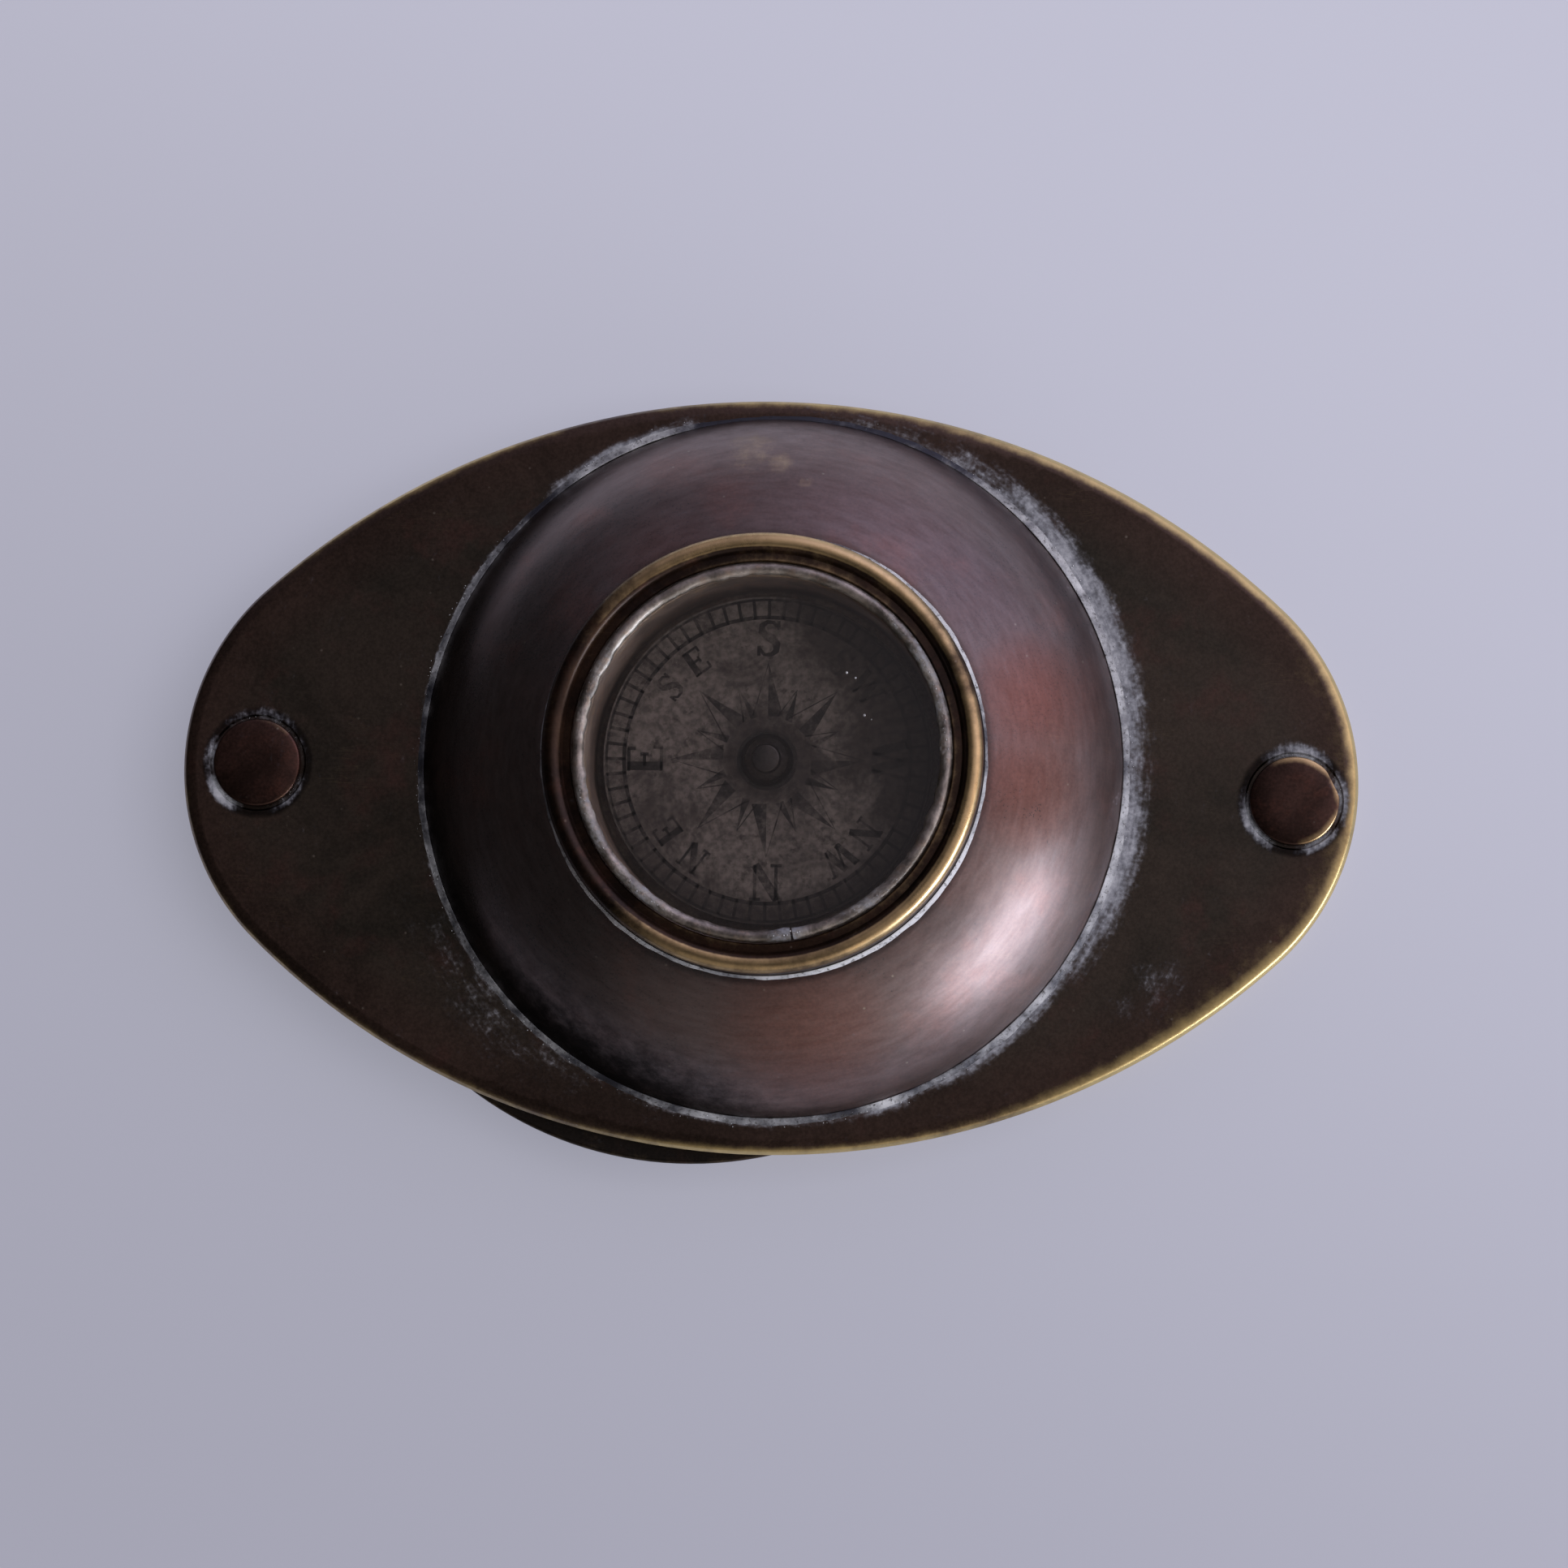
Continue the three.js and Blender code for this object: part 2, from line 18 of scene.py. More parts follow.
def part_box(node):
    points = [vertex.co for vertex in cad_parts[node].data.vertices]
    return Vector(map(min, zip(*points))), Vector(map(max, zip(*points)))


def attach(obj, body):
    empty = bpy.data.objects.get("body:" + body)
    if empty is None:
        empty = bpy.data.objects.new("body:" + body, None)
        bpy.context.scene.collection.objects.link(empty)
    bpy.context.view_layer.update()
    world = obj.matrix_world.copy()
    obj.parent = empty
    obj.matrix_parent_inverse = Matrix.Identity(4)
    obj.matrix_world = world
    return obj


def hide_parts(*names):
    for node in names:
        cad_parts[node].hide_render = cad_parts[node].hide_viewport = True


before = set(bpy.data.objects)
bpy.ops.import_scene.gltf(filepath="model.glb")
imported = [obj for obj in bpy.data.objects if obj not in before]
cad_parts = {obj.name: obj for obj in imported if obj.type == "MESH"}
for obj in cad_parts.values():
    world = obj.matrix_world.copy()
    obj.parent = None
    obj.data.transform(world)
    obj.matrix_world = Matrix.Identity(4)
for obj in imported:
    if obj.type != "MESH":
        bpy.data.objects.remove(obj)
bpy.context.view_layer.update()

MM = 0.001

# %% [markdown]
# ## Measures
#
# The frame's boxes say where each piece is, so nothing here is placed by eye. Sizes are read in
# millimetres, because the wire, wall and edge sizes of such a small object are easier to think about so.


# %% Measures from the frame
def box_of(node):
    low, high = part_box(node)
    return low / MM, high / MM


def centre_of(node):
    low, high = box_of(node)
    return ((low + high) / 2).to_2d()


def radius_of(node):
    low, high = box_of(node)
    return (high.x - low.x) / 2


def bottom_of(node):
    return box_of(node)[0].z


def top_of(node):
    return box_of(node)[1].z


compass_centre = centre_of("compass_dome")
pivot_centre = centre_of("pivot_rivet")
far_centre = centre_of("far_rivet")
lens_centre = centre_of("magnifier_lens")
plate_top = top_of("upper_plate")
print("compass axis at", compass_centre[:], "upper plate's top at", round(plate_top, 2))

# %% [markdown]
# ## Camera
#
# The photograph was taken from nearly straight above. The compass bezel sits up and to the left of the
# dome's foot in it, which gives the small tilt of the camera, and the plates' long axis is turned a
# little clockwise. The distance comes from how much larger the raised parts look.

# %% Camera
PHOTO_SIZE = 1932  # pixels along each side
PIXEL = 0.05156  # millimetres that a pixel covers at the point that the camera is aimed at
CAMERA_AIM = (1.22, -0.6)  # on the upper plate
CAMERA_TILT = math.radians(6.0)  # from straight above
CAMERA_TOWARDS = math.radians(-54)  # the side that the camera leans to, from +X
CAMERA_TURN = math.radians(1.3)  # clockwise turn of the plates in the picture
CAMERA_DISTANCE = 240  # millimetres
SENSOR = 36  # millimetres
NEAREST = 0.01  # metres from the camera to the nearest thing that it shows


def towards(round_angle, up_angle):
    flat = math.cos(up_angle)
    return Vector((flat * math.cos(round_angle), flat * math.sin(round_angle), math.sin(up_angle)))


def camera_place():
    back = towards(CAMERA_TOWARDS, math.pi / 2 - CAMERA_TILT)
    level = (Vector((1, 0, 0)) - back.x * back).normalized()
    right = math.cos(CAMERA_TURN) * level + math.sin(CAMERA_TURN) * back.cross(level)
    place = Matrix((right, back.cross(right), back)).transposed().to_4x4()
    place.translation = (Vector((*CAMERA_AIM, plate_top)) + CAMERA_DISTANCE * back) * MM
    return place


def add_camera():
    camera = bpy.data.objects.new("camera", bpy.data.cameras.new("camera"))
    camera.data.sensor_width = SENSOR
    camera.data.lens = SENSOR * CAMERA_DISTANCE / (PHOTO_SIZE * PIXEL)
    camera.data.clip_start = NEAREST
    camera.matrix_world = camera_place()
    bpy.context.scene.collection.objects.link(camera)
    bpy.context.scene.camera = camera
    return camera


camera = add_camera()
print("camera lens:", round(camera.data.lens, 1), "mm")

# %% [markdown]
# ## Node helpers
#
# The room, the floor and every finish are made of shader nodes. These helpers add one node each and hand
# back the socket that the next one needs, so that a recipe below reads like a formula.


# %% Node helpers
def add_node(tree, kind, inputs=(), **settings):
    made = tree.nodes.new(kind)
    for name, value in settings.items():
        setattr(made, name, value)
    for key, value in dict(inputs).items():
        if isinstance(value, bpy.types.NodeSocket):
            tree.links.new(value, made.inputs[key])
        else:
            made.inputs[key].default_value = value
    return made


def smooth_step(tree, value, low, high, start=0.0, end=1.0):
    sockets = {"Value": value, "From Min": low, "From Max": high, "To Min": start, "To Max": end}
    return add_node(tree, "ShaderNodeMapRange", sockets, interpolation_type="SMOOTHSTEP").outputs["Result"]


def mixed(tree, factor, first, second):
    return add_node(tree, "ShaderNodeMix", {0: factor, 6: first, 7: second}, data_type="RGBA").outputs[2]


def calculated(tree, operation, *values):
    return add_node(tree, "ShaderNodeMath", dict(enumerate(values)), operation=operation).outputs[0]


def vector_math(tree, operation, *values):
    return add_node(tree, "ShaderNodeVectorMath", dict(enumerate(values)), operation=operation)


def object_place(tree):
    """Each point's place in the object's own axes, in metres."""
    return add_node(tree, "ShaderNodeTexCoord").outputs["Object"]


def new_material(name):
    material = bpy.data.materials.new(name)
    material.use_nodes = True
    return material, material.node_tree, material.node_tree.nodes["Principled BSDF"]


print("materials before the first recipe:", len(bpy.data.materials))

# %% [markdown]
# ## Light
#
# Polished metal shows the whole room, so the light is built as a room. A soft window stands low on the
# right, pale walls stand behind, in front and to the right, and the left side is dark, which gives the
# dome its black flank. A large lamp overhead lights the table. It is kept out of the metal's reflections,
# because the room is dark straight above the camera.

# %% Room and lamps
ROOM_SHADE = (0.033, 0.031, 0.032)
WALLS = (  # degrees round and up to the wall's middle, spread in degrees, colour
    (95, 28, 48, (0.23, 0.2, 0.255)),
    (45, 26, 48, (0.62, 0.58, 0.83)),
    (2, 16, 44, (0.55, 0.43, 0.41)),
    (-50, 18, 42, (0.56, 0.465, 0.445)),
    (-92, 22, 42, (0.24, 0.215, 0.21)),
    (25, 60, 40, (0.36, 0.315, 0.345)),
)


def light_room():
    world = bpy.data.worlds.new("room")
    bpy.context.scene.world = world
    world.use_nodes = True
    tree = world.node_tree
    tree.nodes.clear()
    looking = add_node(tree, "ShaderNodeTexCoord").outputs["Generated"]
    total = ROOM_SHADE
    for round_degrees, up_degrees, spread, colour in WALLS:
        aim = towards(math.radians(round_degrees), math.radians(up_degrees))
        facing = vector_math(tree, "DOT_PRODUCT", looking, aim).outputs["Value"]
        share = smooth_step(tree, facing, math.cos(math.radians(spread)), 1)
        glow = vector_math(tree, "MULTIPLY", colour, share).outputs[0]
        total = vector_math(tree, "ADD", total, glow).outputs[0]
    background = add_node(tree, "ShaderNodeBackground", {"Color": total})
    add_node(tree, "ShaderNodeOutputWorld", {"Surface": background.outputs[0]})


def add_lamp(name, round_degrees, up_degrees, distance, size, power, colour, in_reflections):
    """A rectangular lamp at a distance in metres, aimed at the middle of the table."""
    lamp = bpy.data.lights.new(name, "AREA")
    lamp.shape = "RECTANGLE"
    lamp.size, lamp.size_y = size
    lamp.energy = power
    lamp.color = colour
    holder = bpy.data.objects.new(name, lamp)
    direction = towards(math.radians(round_degrees), math.radians(up_degrees))
    turn = direction.to_track_quat("Z", "Y").to_matrix().to_4x4()
    holder.matrix_world = Matrix.Translation(direction * distance) @ turn
    holder.visible_glossy = in_reflections
    holder.visible_transmission = in_reflections
    bpy.context.scene.collection.objects.link(holder)


bpy.context.scene.view_settings.view_transform = "Standard"
light_room()
add_lamp(
    "window", round_degrees=-33, up_degrees=6.5, distance=0.7, size=(0.4, 0.28), power=2.9,
    colour=(0.86, 0.95, 1.14), in_reflections=True,
)
add_lamp(
    "ceiling", round_degrees=0, up_degrees=66, distance=0.9, size=(0.55, 0.55), power=3.8,
    colour=(1, 1, 1), in_reflections=False,
)
print("light: window, ceiling and", len(WALLS), "walls")

# %% [markdown]
# ## Floor
#
# The object lies on a sheet of paper that ends just past the left side of the picture, on a dark table.
# Light reaches the sheet from all round and comes through it too, so the object's shadow is faint: part
# of the paper's tone is a glow that only the camera and the reflections see, and the rest is lit and takes
# the shadow. The sheet's colour is painted a little lighter towards the back and the right, as a painted
# fall of light across it.

# %% Floor
FLOOR_SIZE = 4  # metres
PAPER_COLOUR = (0.595, 0.60, 0.715)
TABLE_COLOUR = (0.03, 0.027, 0.028, 1)
PAPER_LEFT = -0.062  # metres, past the left side of the picture
PAPER_CUT = 0.0004  # metres that the cut edge is soft over
PAPER_GLOW = 0.6  # share of the paper's tone that a shadow leaves
ROOM_LEVEL = 0.93  # brightness of a white sheet in the open
# The paper's colour is painted lighter towards this side and darker away from it: painted light falling off
# across the sheet.
LIGHTER_SIDE = (0.45, 0.89, 0)
LIGHTER_REACH = 0.07  # metres each way from the middle
LIGHTER_RANGE = (0.74, 1.04)  # shares of the paper's colour at the dim and the light end


def paper_tone(tree):
    place = object_place(tree)
    left = add_node(tree, "ShaderNodeSeparateXYZ", {0: place}).outputs["X"]
    on_paper = smooth_step(tree, left, PAPER_LEFT - PAPER_CUT, PAPER_LEFT)
    inward = vector_math(tree, "DOT_PRODUCT", place, LIGHTER_SIDE).outputs["Value"]
    shade = smooth_step(tree, inward, -LIGHTER_REACH, LIGHTER_REACH, *LIGHTER_RANGE)
    paper = vector_math(tree, "MULTIPLY", PAPER_COLOUR, shade).outputs[0]
    return mixed(tree, on_paper, TABLE_COLOUR, paper)


def seen_directly(tree):
    """1 for what the camera sees, also in metal or through glass, and 0 for light that bounces on."""
    path = add_node(tree, "ShaderNodeLightPath").outputs
    seen = calculated(tree, "MAXIMUM", path["Is Camera Ray"], path["Is Glossy Ray"])
    return calculated(tree, "MAXIMUM", seen, path["Is Transmission Ray"])


def floor_paper():
    material, tree, shader = new_material("floor_paper")
    tone = paper_tone(tree)
    lit = vector_math(tree, "MULTIPLY", tone, (1 - PAPER_GLOW,) * 3).outputs[0]
    glow = vector_math(tree, "MULTIPLY", tone, (PAPER_GLOW * ROOM_LEVEL,) * 3).outputs[0]
    tree.links.new(lit, shader.inputs["Base Color"])
    tree.links.new(glow, shader.inputs["Emission Color"])
    tree.links.new(seen_directly(tree), shader.inputs["Emission Strength"])
    shader.inputs["Roughness"].default_value = 0.9
    shader.inputs["Specular IOR Level"].default_value = 0.1
    return material


def add_floor():
    mesh = bpy.data.meshes.new("floor")
    half = FLOOR_SIZE / 2
    corners = [(-half, -half, 0), (half, -half, 0), (half, half, 0), (-half, half, 0)]
    mesh.from_pydata(corners, [], [(0, 1, 2, 3)])
    mesh.materials.append(floor_paper())
    floor = bpy.data.objects.new("floor", mesh)
    bpy.context.scene.collection.objects.link(floor)


add_floor()
print("floor:", FLOOR_SIZE, "m, paper from", PAPER_LEFT, "m on")

# %% [markdown]
# ## Turned forms
#
# Nearly everything here was made on a lathe, so the main tool is a profile that is spun round an axis.
# Each corner of a profile has its own rounding and its own wear, from 0 to 1. The wear is kept on the
# mesh as an attribute, and the metals read it to know where fingers have rubbed through the patina.
# A profile closes on itself, or starts and ends on the axis.

# %% Profiles with rounded corners
ROUND_STEPS = 5
ROUND_SHARE = 0.38  # a rounding takes up no more than this share of the straight on each side of it
SUPPORT = 1.3  # a line of points this many times further out keeps the flats flat


def round_corner(before, here, after, rounding):
    """Points of the arc that rounds a corner, with a supporting point before and after it."""
    before, after = before - here, after - here
    half = before.angle(after) / 2
    reach = min(rounding / math.tan(half), ROUND_SHARE * before.length, ROUND_SHARE * after.length)
    before.normalize()
    after.normalize()
    middle = here + (before + after).normalized() * (reach / math.cos(half))
    spoke = here + reach * before - middle
    sweep = spoke.angle_signed(here + reach * after - middle)
    turns = [Matrix.Rotation(-sweep * step / ROUND_STEPS, 2) for step in range(ROUND_STEPS + 1)]
    bend = [middle + turn @ spoke for turn in turns]
    return [here + SUPPORT * reach * before, *bend, here + SUPPORT * reach * after]


def rounded(corners, closed=True):
    """Points (across, height, wear) of a profile of corners (across, height, rounding, wear)."""
    places = [Vector(corner[:2]) for corner in corners]
    points = []
    for index, (across, height, rounding, wear) in enumerate(corners):
        at_end = not closed and index in (0, len(corners) - 1)
        if at_end or rounding == 0:
            points.append((across, height, wear))
            continue
        after = places[(index + 1) % len(places)]
        points += [(*spot, wear) for spot in round_corner(places[index - 1], places[index], after, rounding)]
    return points


def profile_arc(centre, radius, start, end, steps, wear):
    """Points of a profile along an arc, from one angle to another."""
    points = []
    for step in range(steps + 1):
        angle = start + (end - start) * step / steps
        points.append((centre[0] + radius * math.cos(angle), centre[1] + radius * math.sin(angle), wear))
    return points


print("a rounded corner has", ROUND_STEPS + 3, "points")

# %% Meshes from rings of points
SIDES = 192
SHARP = math.radians(35)  # edges at larger angles than this stay crisp


def ring_of_verts(bm, wear_layer, points):
    ring = []
    for x, y, z, wear in points:
        vert = bm.verts.new((x * MM, y * MM, z * MM))
        vert[wear_layer] = wear
        ring.append(vert)
    return ring


def bridge(bm, first, second):
    for index in range(max(len(first), len(second))):
        corners = []
        for ring, step in ((first, 0), (first, 1), (second, 1), (second, 0)):
            vert = ring[(index + step) % len(ring)]
            if vert not in corners:
                corners.append(vert)
        bm.faces.new(corners)


def mesh_from(bm, name):
    """A mesh with its faces outwards."""
    bmesh.ops.recalc_face_normals(bm, faces=bm.faces)
    mesh = bpy.data.meshes.new(name)
    bm.to_mesh(mesh)
    bm.free()
    return mesh


def placed(name, mesh):
    piece = bpy.data.objects.new(name, mesh)
    bpy.context.scene.collection.objects.link(piece)
    return piece


def piece_from(bm, name, material):
    mesh = mesh_from(bm, name)
    mesh.shade_smooth()
    mesh.set_sharp_from_angle(angle=SHARP)
    mesh.materials.append(material)
    return placed(name, mesh)


print("turned forms have", SIDES, "sides")

# %% Spinning a profile
ON_AXIS = 1e-6  # a point of a profile closer to the axis than this is one point of the mesh


def evenly_round(count):
    return [2 * math.pi * step / count for step in range(count)]


def spun(name, points, centre, material, closed=True, angles=None, shaped=None):
    """Spins points (across, height, wear) round centre. shaped(angle, across, height) bends the form."""
    bm = bmesh.new()
    wear_layer = bm.verts.layers.float.new("wear")
    angles = angles or evenly_round(SIDES)
    rings = []
    for across, height, wear in points:
        ring = []
        for angle in angles if across > ON_AXIS else angles[:1]:
            out, up = shaped(angle, across, height) if shaped else (across, height)
            ring.append((centre[0] + out * math.cos(angle), centre[1] + out * math.sin(angle), up, wear))
        rings.append(ring_of_verts(bm, wear_layer, ring))
    following = rings[1:] + rings[:1] if closed else rings[1:]
    for first, second in zip(rings, following):
        bridge(bm, first, second)
    return piece_from(bm, name, material)


def turned(name, corners, centre, material, closed=True, **more):
    return spun(name, rounded(corners, closed), centre, material, closed, **more)


print("first angles of a spin:", [round(angle, 3) for angle in evenly_round(SIDES)[:3]])


# %% Marks on a piece, and keeping it
def paint(piece, name, amount):
    """Sets an attribute of each point from amount(place), with the place in millimetres."""
    if name not in piece.data.attributes:
        piece.data.attributes.new(name, "FLOAT", "POINT")
    values = [amount(vert.co / MM) for vert in piece.data.vertices]
    piece.data.attributes[name].data.foreach_set("value", values)


def rub(piece, share):
    """Keeps only a share of the wear that a piece was made with, from share(place)."""
    made = [value.value for value in piece.data.attributes["wear"].data]
    places = [vert.co / MM for vert in piece.data.vertices]
    kept = [wear * share(place) for wear, place in zip(made, places)]
    piece.data.attributes["wear"].data.foreach_set("value", kept)


def keep(piece, body, slot, *nodes):
    """Makes a finished piece part of a body, in place of the frame's plainer ones."""
    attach(piece, body)
    if nodes:
        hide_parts(*nodes)
    print(piece.name, "has", len(piece.data.polygons), "faces")


print("nodes to dress:", len(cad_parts))

# %% [markdown]
# ## Sheet forms
#
# The plates and the leaf are cut from sheet: an outline of arcs, rolled edges and drilled holes. An outline
# of arcs can be drawn at any inset just by taking the inset off each radius, so the rolled edge is a
# profile like a turned one, with the inset in place of the radius. The flats are filled with triangles
# through extra points, because the attributes for wear, dirt, painted shade and painted sheen need points
# to live on.

# %% Outlines
OVAL_TIP_RADIUS = 15.3
ARC_POINTS = 64


def arc(centre, radius, start, end, count=ARC_POINTS):
    angles = [start + (end - start) * step / count for step in range(count)]
    return [(centre[0] + radius * math.cos(a), centre[1] + radius * math.sin(a)) for a in angles]


def circle(centre, radius, count=SIDES):
    return arc(centre, radius, 0, 2 * math.pi, count)


def oval_arcs():
    """The distance of the tips' centres from the middle, and the radius and the drop of the sides' arcs."""
    half_length, half_width = box_of("upper_plate")[1].to_2d()
    tip = half_length - OVAL_TIP_RADIUS
    side = (tip**2 + half_width**2 - OVAL_TIP_RADIUS**2) / (2 * (half_width - OVAL_TIP_RADIUS))
    return tip, side, side - half_width


oval_tip, oval_side, oval_drop = oval_arcs()


def oval(inset):
    meet = math.atan2(oval_drop, oval_tip)
    return [
        *arc((oval_tip, 0), OVAL_TIP_RADIUS - inset, -meet, meet),
        *arc((0, -oval_drop), oval_side - inset, meet, math.pi - meet),
        *arc((-oval_tip, 0), OVAL_TIP_RADIUS - inset, math.pi - meet, math.pi + meet),
        *arc((0, oval_drop), oval_side - inset, math.pi + meet, 2 * math.pi - meet),
    ]


print("the oval outline has", len(oval(0)), "points, with sides of radius", round(oval_side, 1))

# %% Sheet pieces
HOLE_CLEAR = 0.12  # extra points keep this far from a hole
FILL_INSIDE = 1  # the triangulation's own number for filling only inside the loops
SAME_POINT = 1e-6


def fill_flat(bm, wear_layer, loops, extra):
    """Fills the area inside the first loop and outside the others, through extra points."""
    verts = [vert for loop in loops for vert in loop] + ring_of_verts(bm, wear_layer, extra)
    edges, loop_of, start = [], {}, 0
    for number, loop in enumerate(loops):
        for step in range(len(loop)):
            edges.append((start + step, start + (step + 1) % len(loop)))
            loop_of[start + step] = number
        start += len(loop)
    flat = [vert.co.to_2d() / MM for vert in verts]
    made = delaunay_2d_cdt(flat, edges, [], FILL_INSIDE, SAME_POINT)
    for triangle in made[2]:
        corners = [made[3][index][0] for index in triangle]
        touched = {loop_of.get(corner, 0) for corner in corners}
        if len(touched) > 1 or touched == {0}:
            bm.faces.new([verts[corner] for corner in corners])


def sheet_wall(bm, wear_layer, draw, corners):
    """The rings of points up an edge or a hole, which draw(across) gives the outlines of."""
    rings = []
    for across, height, wear in rounded(corners, closed=False):
        rings.append(ring_of_verts(bm, wear_layer, [(x, y, height, wear) for x, y in draw(across)]))
    for first, second in zip(rings, rings[1:]):
        bridge(bm, first, second)
    return rings


def sheet_piece(name, outline, edge, holes, material, inner=()):
    """A flat piece. edge has corners (inset, height, rounding, wear) from its lower face to its upper one,
    holes has (centre, corners) with the radius in place of the inset, and inner has points (x, y, wear)."""
    bm = bmesh.new()
    wear_layer = bm.verts.layers.float.new("wear")
    walls = [sheet_wall(bm, wear_layer, outline, edge)]
    for middle, corners in holes:
        walls.append(sheet_wall(bm, wear_layer, lambda radius: circle(middle, radius), corners))
    for face in (0, -1):
        keep_out = [(middle, corners[face][0] + HOLE_CLEAR) for middle, corners in holes]
        clear = [
            (x, y, edge[face][1], wear) for x, y, wear in inner
            if all(math.dist((x, y), middle) > radius for middle, radius in keep_out)
        ]
        fill_flat(bm, wear_layer, [rings[face] for rings in walls], clear)
    return piece_from(bm, name, material)


print("extra points keep", HOLE_CLEAR, "mm from a hole")

# %% [markdown]
# ## Finishes that several metals share
#
# Old brass is not one colour. A patina has dark and reddish clouds and fine specks, worn places show bare
# brass with a ragged border, handling leaves hairline scratches, and dried polish sits pale in corners.
# Each of these is a node group with its own inputs, built once, and every metal below uses them with
# values of its own. The scales count blotches in a metre, so 1000 makes them a millimetre across.


# %% Group helpers
def cloud(tree, vector, scale, detail=4.0, roughness=0.6, distortion=0.0):
    sockets = {"Vector": vector, "Scale": scale, "Detail": detail, "Roughness": roughness}
    return add_node(tree, "ShaderNodeTexNoise", {**sockets, "Distortion": distortion}).outputs["Fac"]


def about_zero(tree, clouds):
    """Clouds that go below zero as much as above it."""
    return calculated(tree, "SUBTRACT", clouds, 0.5)


def new_group(name, inputs, outputs):
    tree = bpy.data.node_groups.new(name, "ShaderNodeTree")
    for label, kind in inputs:
        tree.interface.new_socket(label, in_out="INPUT", socket_type="NodeSocket" + kind)
    for label, kind in outputs:
        tree.interface.new_socket(label, in_out="OUTPUT", socket_type="NodeSocket" + kind)
    return tree, tree.nodes.new("NodeGroupInput").outputs, tree.nodes.new("NodeGroupOutput").inputs


def grouped(tree, group, inputs):
    return add_node(tree, "ShaderNodeGroup", inputs, node_tree=group).outputs


print("node groups before the first finish:", len(bpy.data.node_groups))

# %% Patina
BLOTCHES_IN_CLOUD = 3.1  # how many times finer the red blotches are than the clouds
MOTTLE_SCALE = 900
GRAIN_SCALE = 5200
SPECK_SCALE = 1150.0
SPECK_SHARE = (0.8, 0.97)  # only cells whose random number is past these are eaten into


def specks(tree, place):
    cells = add_node(tree, "ShaderNodeTexVoronoi", {"Vector": place, "Scale": SPECK_SCALE}).outputs
    near = smooth_step(tree, cells["Distance"], 0.03, 0.14, 1, 0)
    picked = add_node(tree, "ShaderNodeSeparateColor", {0: cells["Color"]}).outputs[0]
    return calculated(tree, "MULTIPLY", near, smooth_step(tree, picked, *SPECK_SHARE))


def patina_group():
    """Dark, brown and red clouds, with specks where something has eaten at the surface."""
    colours = [("Dark", "Color"), ("Brown", "Color"), ("Red", "Color")]
    inputs = [("Vector", "Vector"), *colours, ("Clouds", "Float"), ("Ruddy", "Float")]
    outputs = [("Color", "Color"), ("Specks", "Float"), ("Height", "Float")]
    tree, given, result = new_group("patina", inputs, outputs)
    large = smooth_step(tree, cloud(tree, given["Vector"], given["Clouds"], distortion=0.6), 0.36, 0.66)
    finer = calculated(tree, "MULTIPLY", given["Clouds"], BLOTCHES_IN_CLOUD)
    blotches = smooth_step(tree, cloud(tree, given["Vector"], finer, detail=6), 0.5, 0.72, 0, 0.75)
    blotches = calculated(tree, "MAXIMUM", blotches, given["Ruddy"])
    mottle = cloud(tree, given["Vector"], MOTTLE_SCALE, detail=4, roughness=0.7)
    grain = calculated(tree, "MULTIPLY_ADD", mottle, 0.5, cloud(tree, given["Vector"], GRAIN_SCALE, detail=2))
    colour = mixed(tree, blotches, mixed(tree, large, given["Dark"], given["Brown"]), given["Red"])
    shade = smooth_step(tree, grain, 0.45, 1.05, 0.8, 1.2)
    tree.links.new(vector_math(tree, "MULTIPLY", colour, shade).outputs[0], result["Color"])
    tree.links.new(specks(tree, given["Vector"]), result["Specks"])
    tree.links.new(calculated(tree, "MULTIPLY_ADD", large, 0.5, grain), result["Height"])
    return tree


PATINA = patina_group()
print(PATINA.name, "has", len(PATINA.nodes), "nodes")

# %% Wear and scratches
RAGGED_SCALE = 800
SCRATCH_DIRECTIONS = ((0.5, 9), (1.9, 14), (-0.6, 11))  # turn, and how many times longer than wide
SCRATCH_SCALE = 90
SCRATCH_WIDTH = 0.006  # of the cloud's middle line, in the cloud's own values
SCRATCH_BREAKS = 210


def wear_group():
    """Bare metal where the wear is high, with a ragged border."""
    inputs = [("Vector", "Vector"), ("Wear", "Float")]
    tree, given, result = new_group("edge_wear", inputs, [("Mask", "Float")])
    ragged = cloud(tree, given["Vector"], RAGGED_SCALE, detail=6, roughness=0.72)
    lifted = calculated(tree, "MULTIPLY_ADD", about_zero(tree, ragged), 0.8, given["Wear"])
    tree.links.new(smooth_step(tree, lifted, 0.26, 1.1), result["Mask"])
    return tree


def scratch_group():
    """Thin broken lines in three directions: the middle line of a stretched cloud."""
    inputs = [("Vector", "Vector"), ("Amount", "Float")]
    tree, given, result = new_group("scratches", inputs, [("Mask", "Float")])
    total = 0.0
    for turn, stretch in SCRATCH_DIRECTIONS:
        sockets = {"Vector": given["Vector"], "Rotation": (0, 0, turn), "Scale": (1, stretch, 1)}
        stretched = add_node(tree, "ShaderNodeMapping", sockets).outputs[0]
        drift = cloud(tree, stretched, SCRATCH_SCALE, detail=2)
        away = calculated(tree, "ABSOLUTE", about_zero(tree, drift))
        total = calculated(tree, "MAXIMUM", total, smooth_step(tree, away, 0, SCRATCH_WIDTH, 1, 0))
    broken = smooth_step(tree, cloud(tree, given["Vector"], SCRATCH_BREAKS), 0.54, 0.68)
    shown = calculated(tree, "MULTIPLY", calculated(tree, "MULTIPLY", total, broken), given["Amount"])
    tree.links.new(shown, result["Mask"])
    return tree


WEAR = wear_group()
SCRATCHES = scratch_group()
print(WEAR.name, "and", SCRATCHES.name, "have", len(WEAR.nodes), "and", len(SCRATCHES.nodes), "nodes")

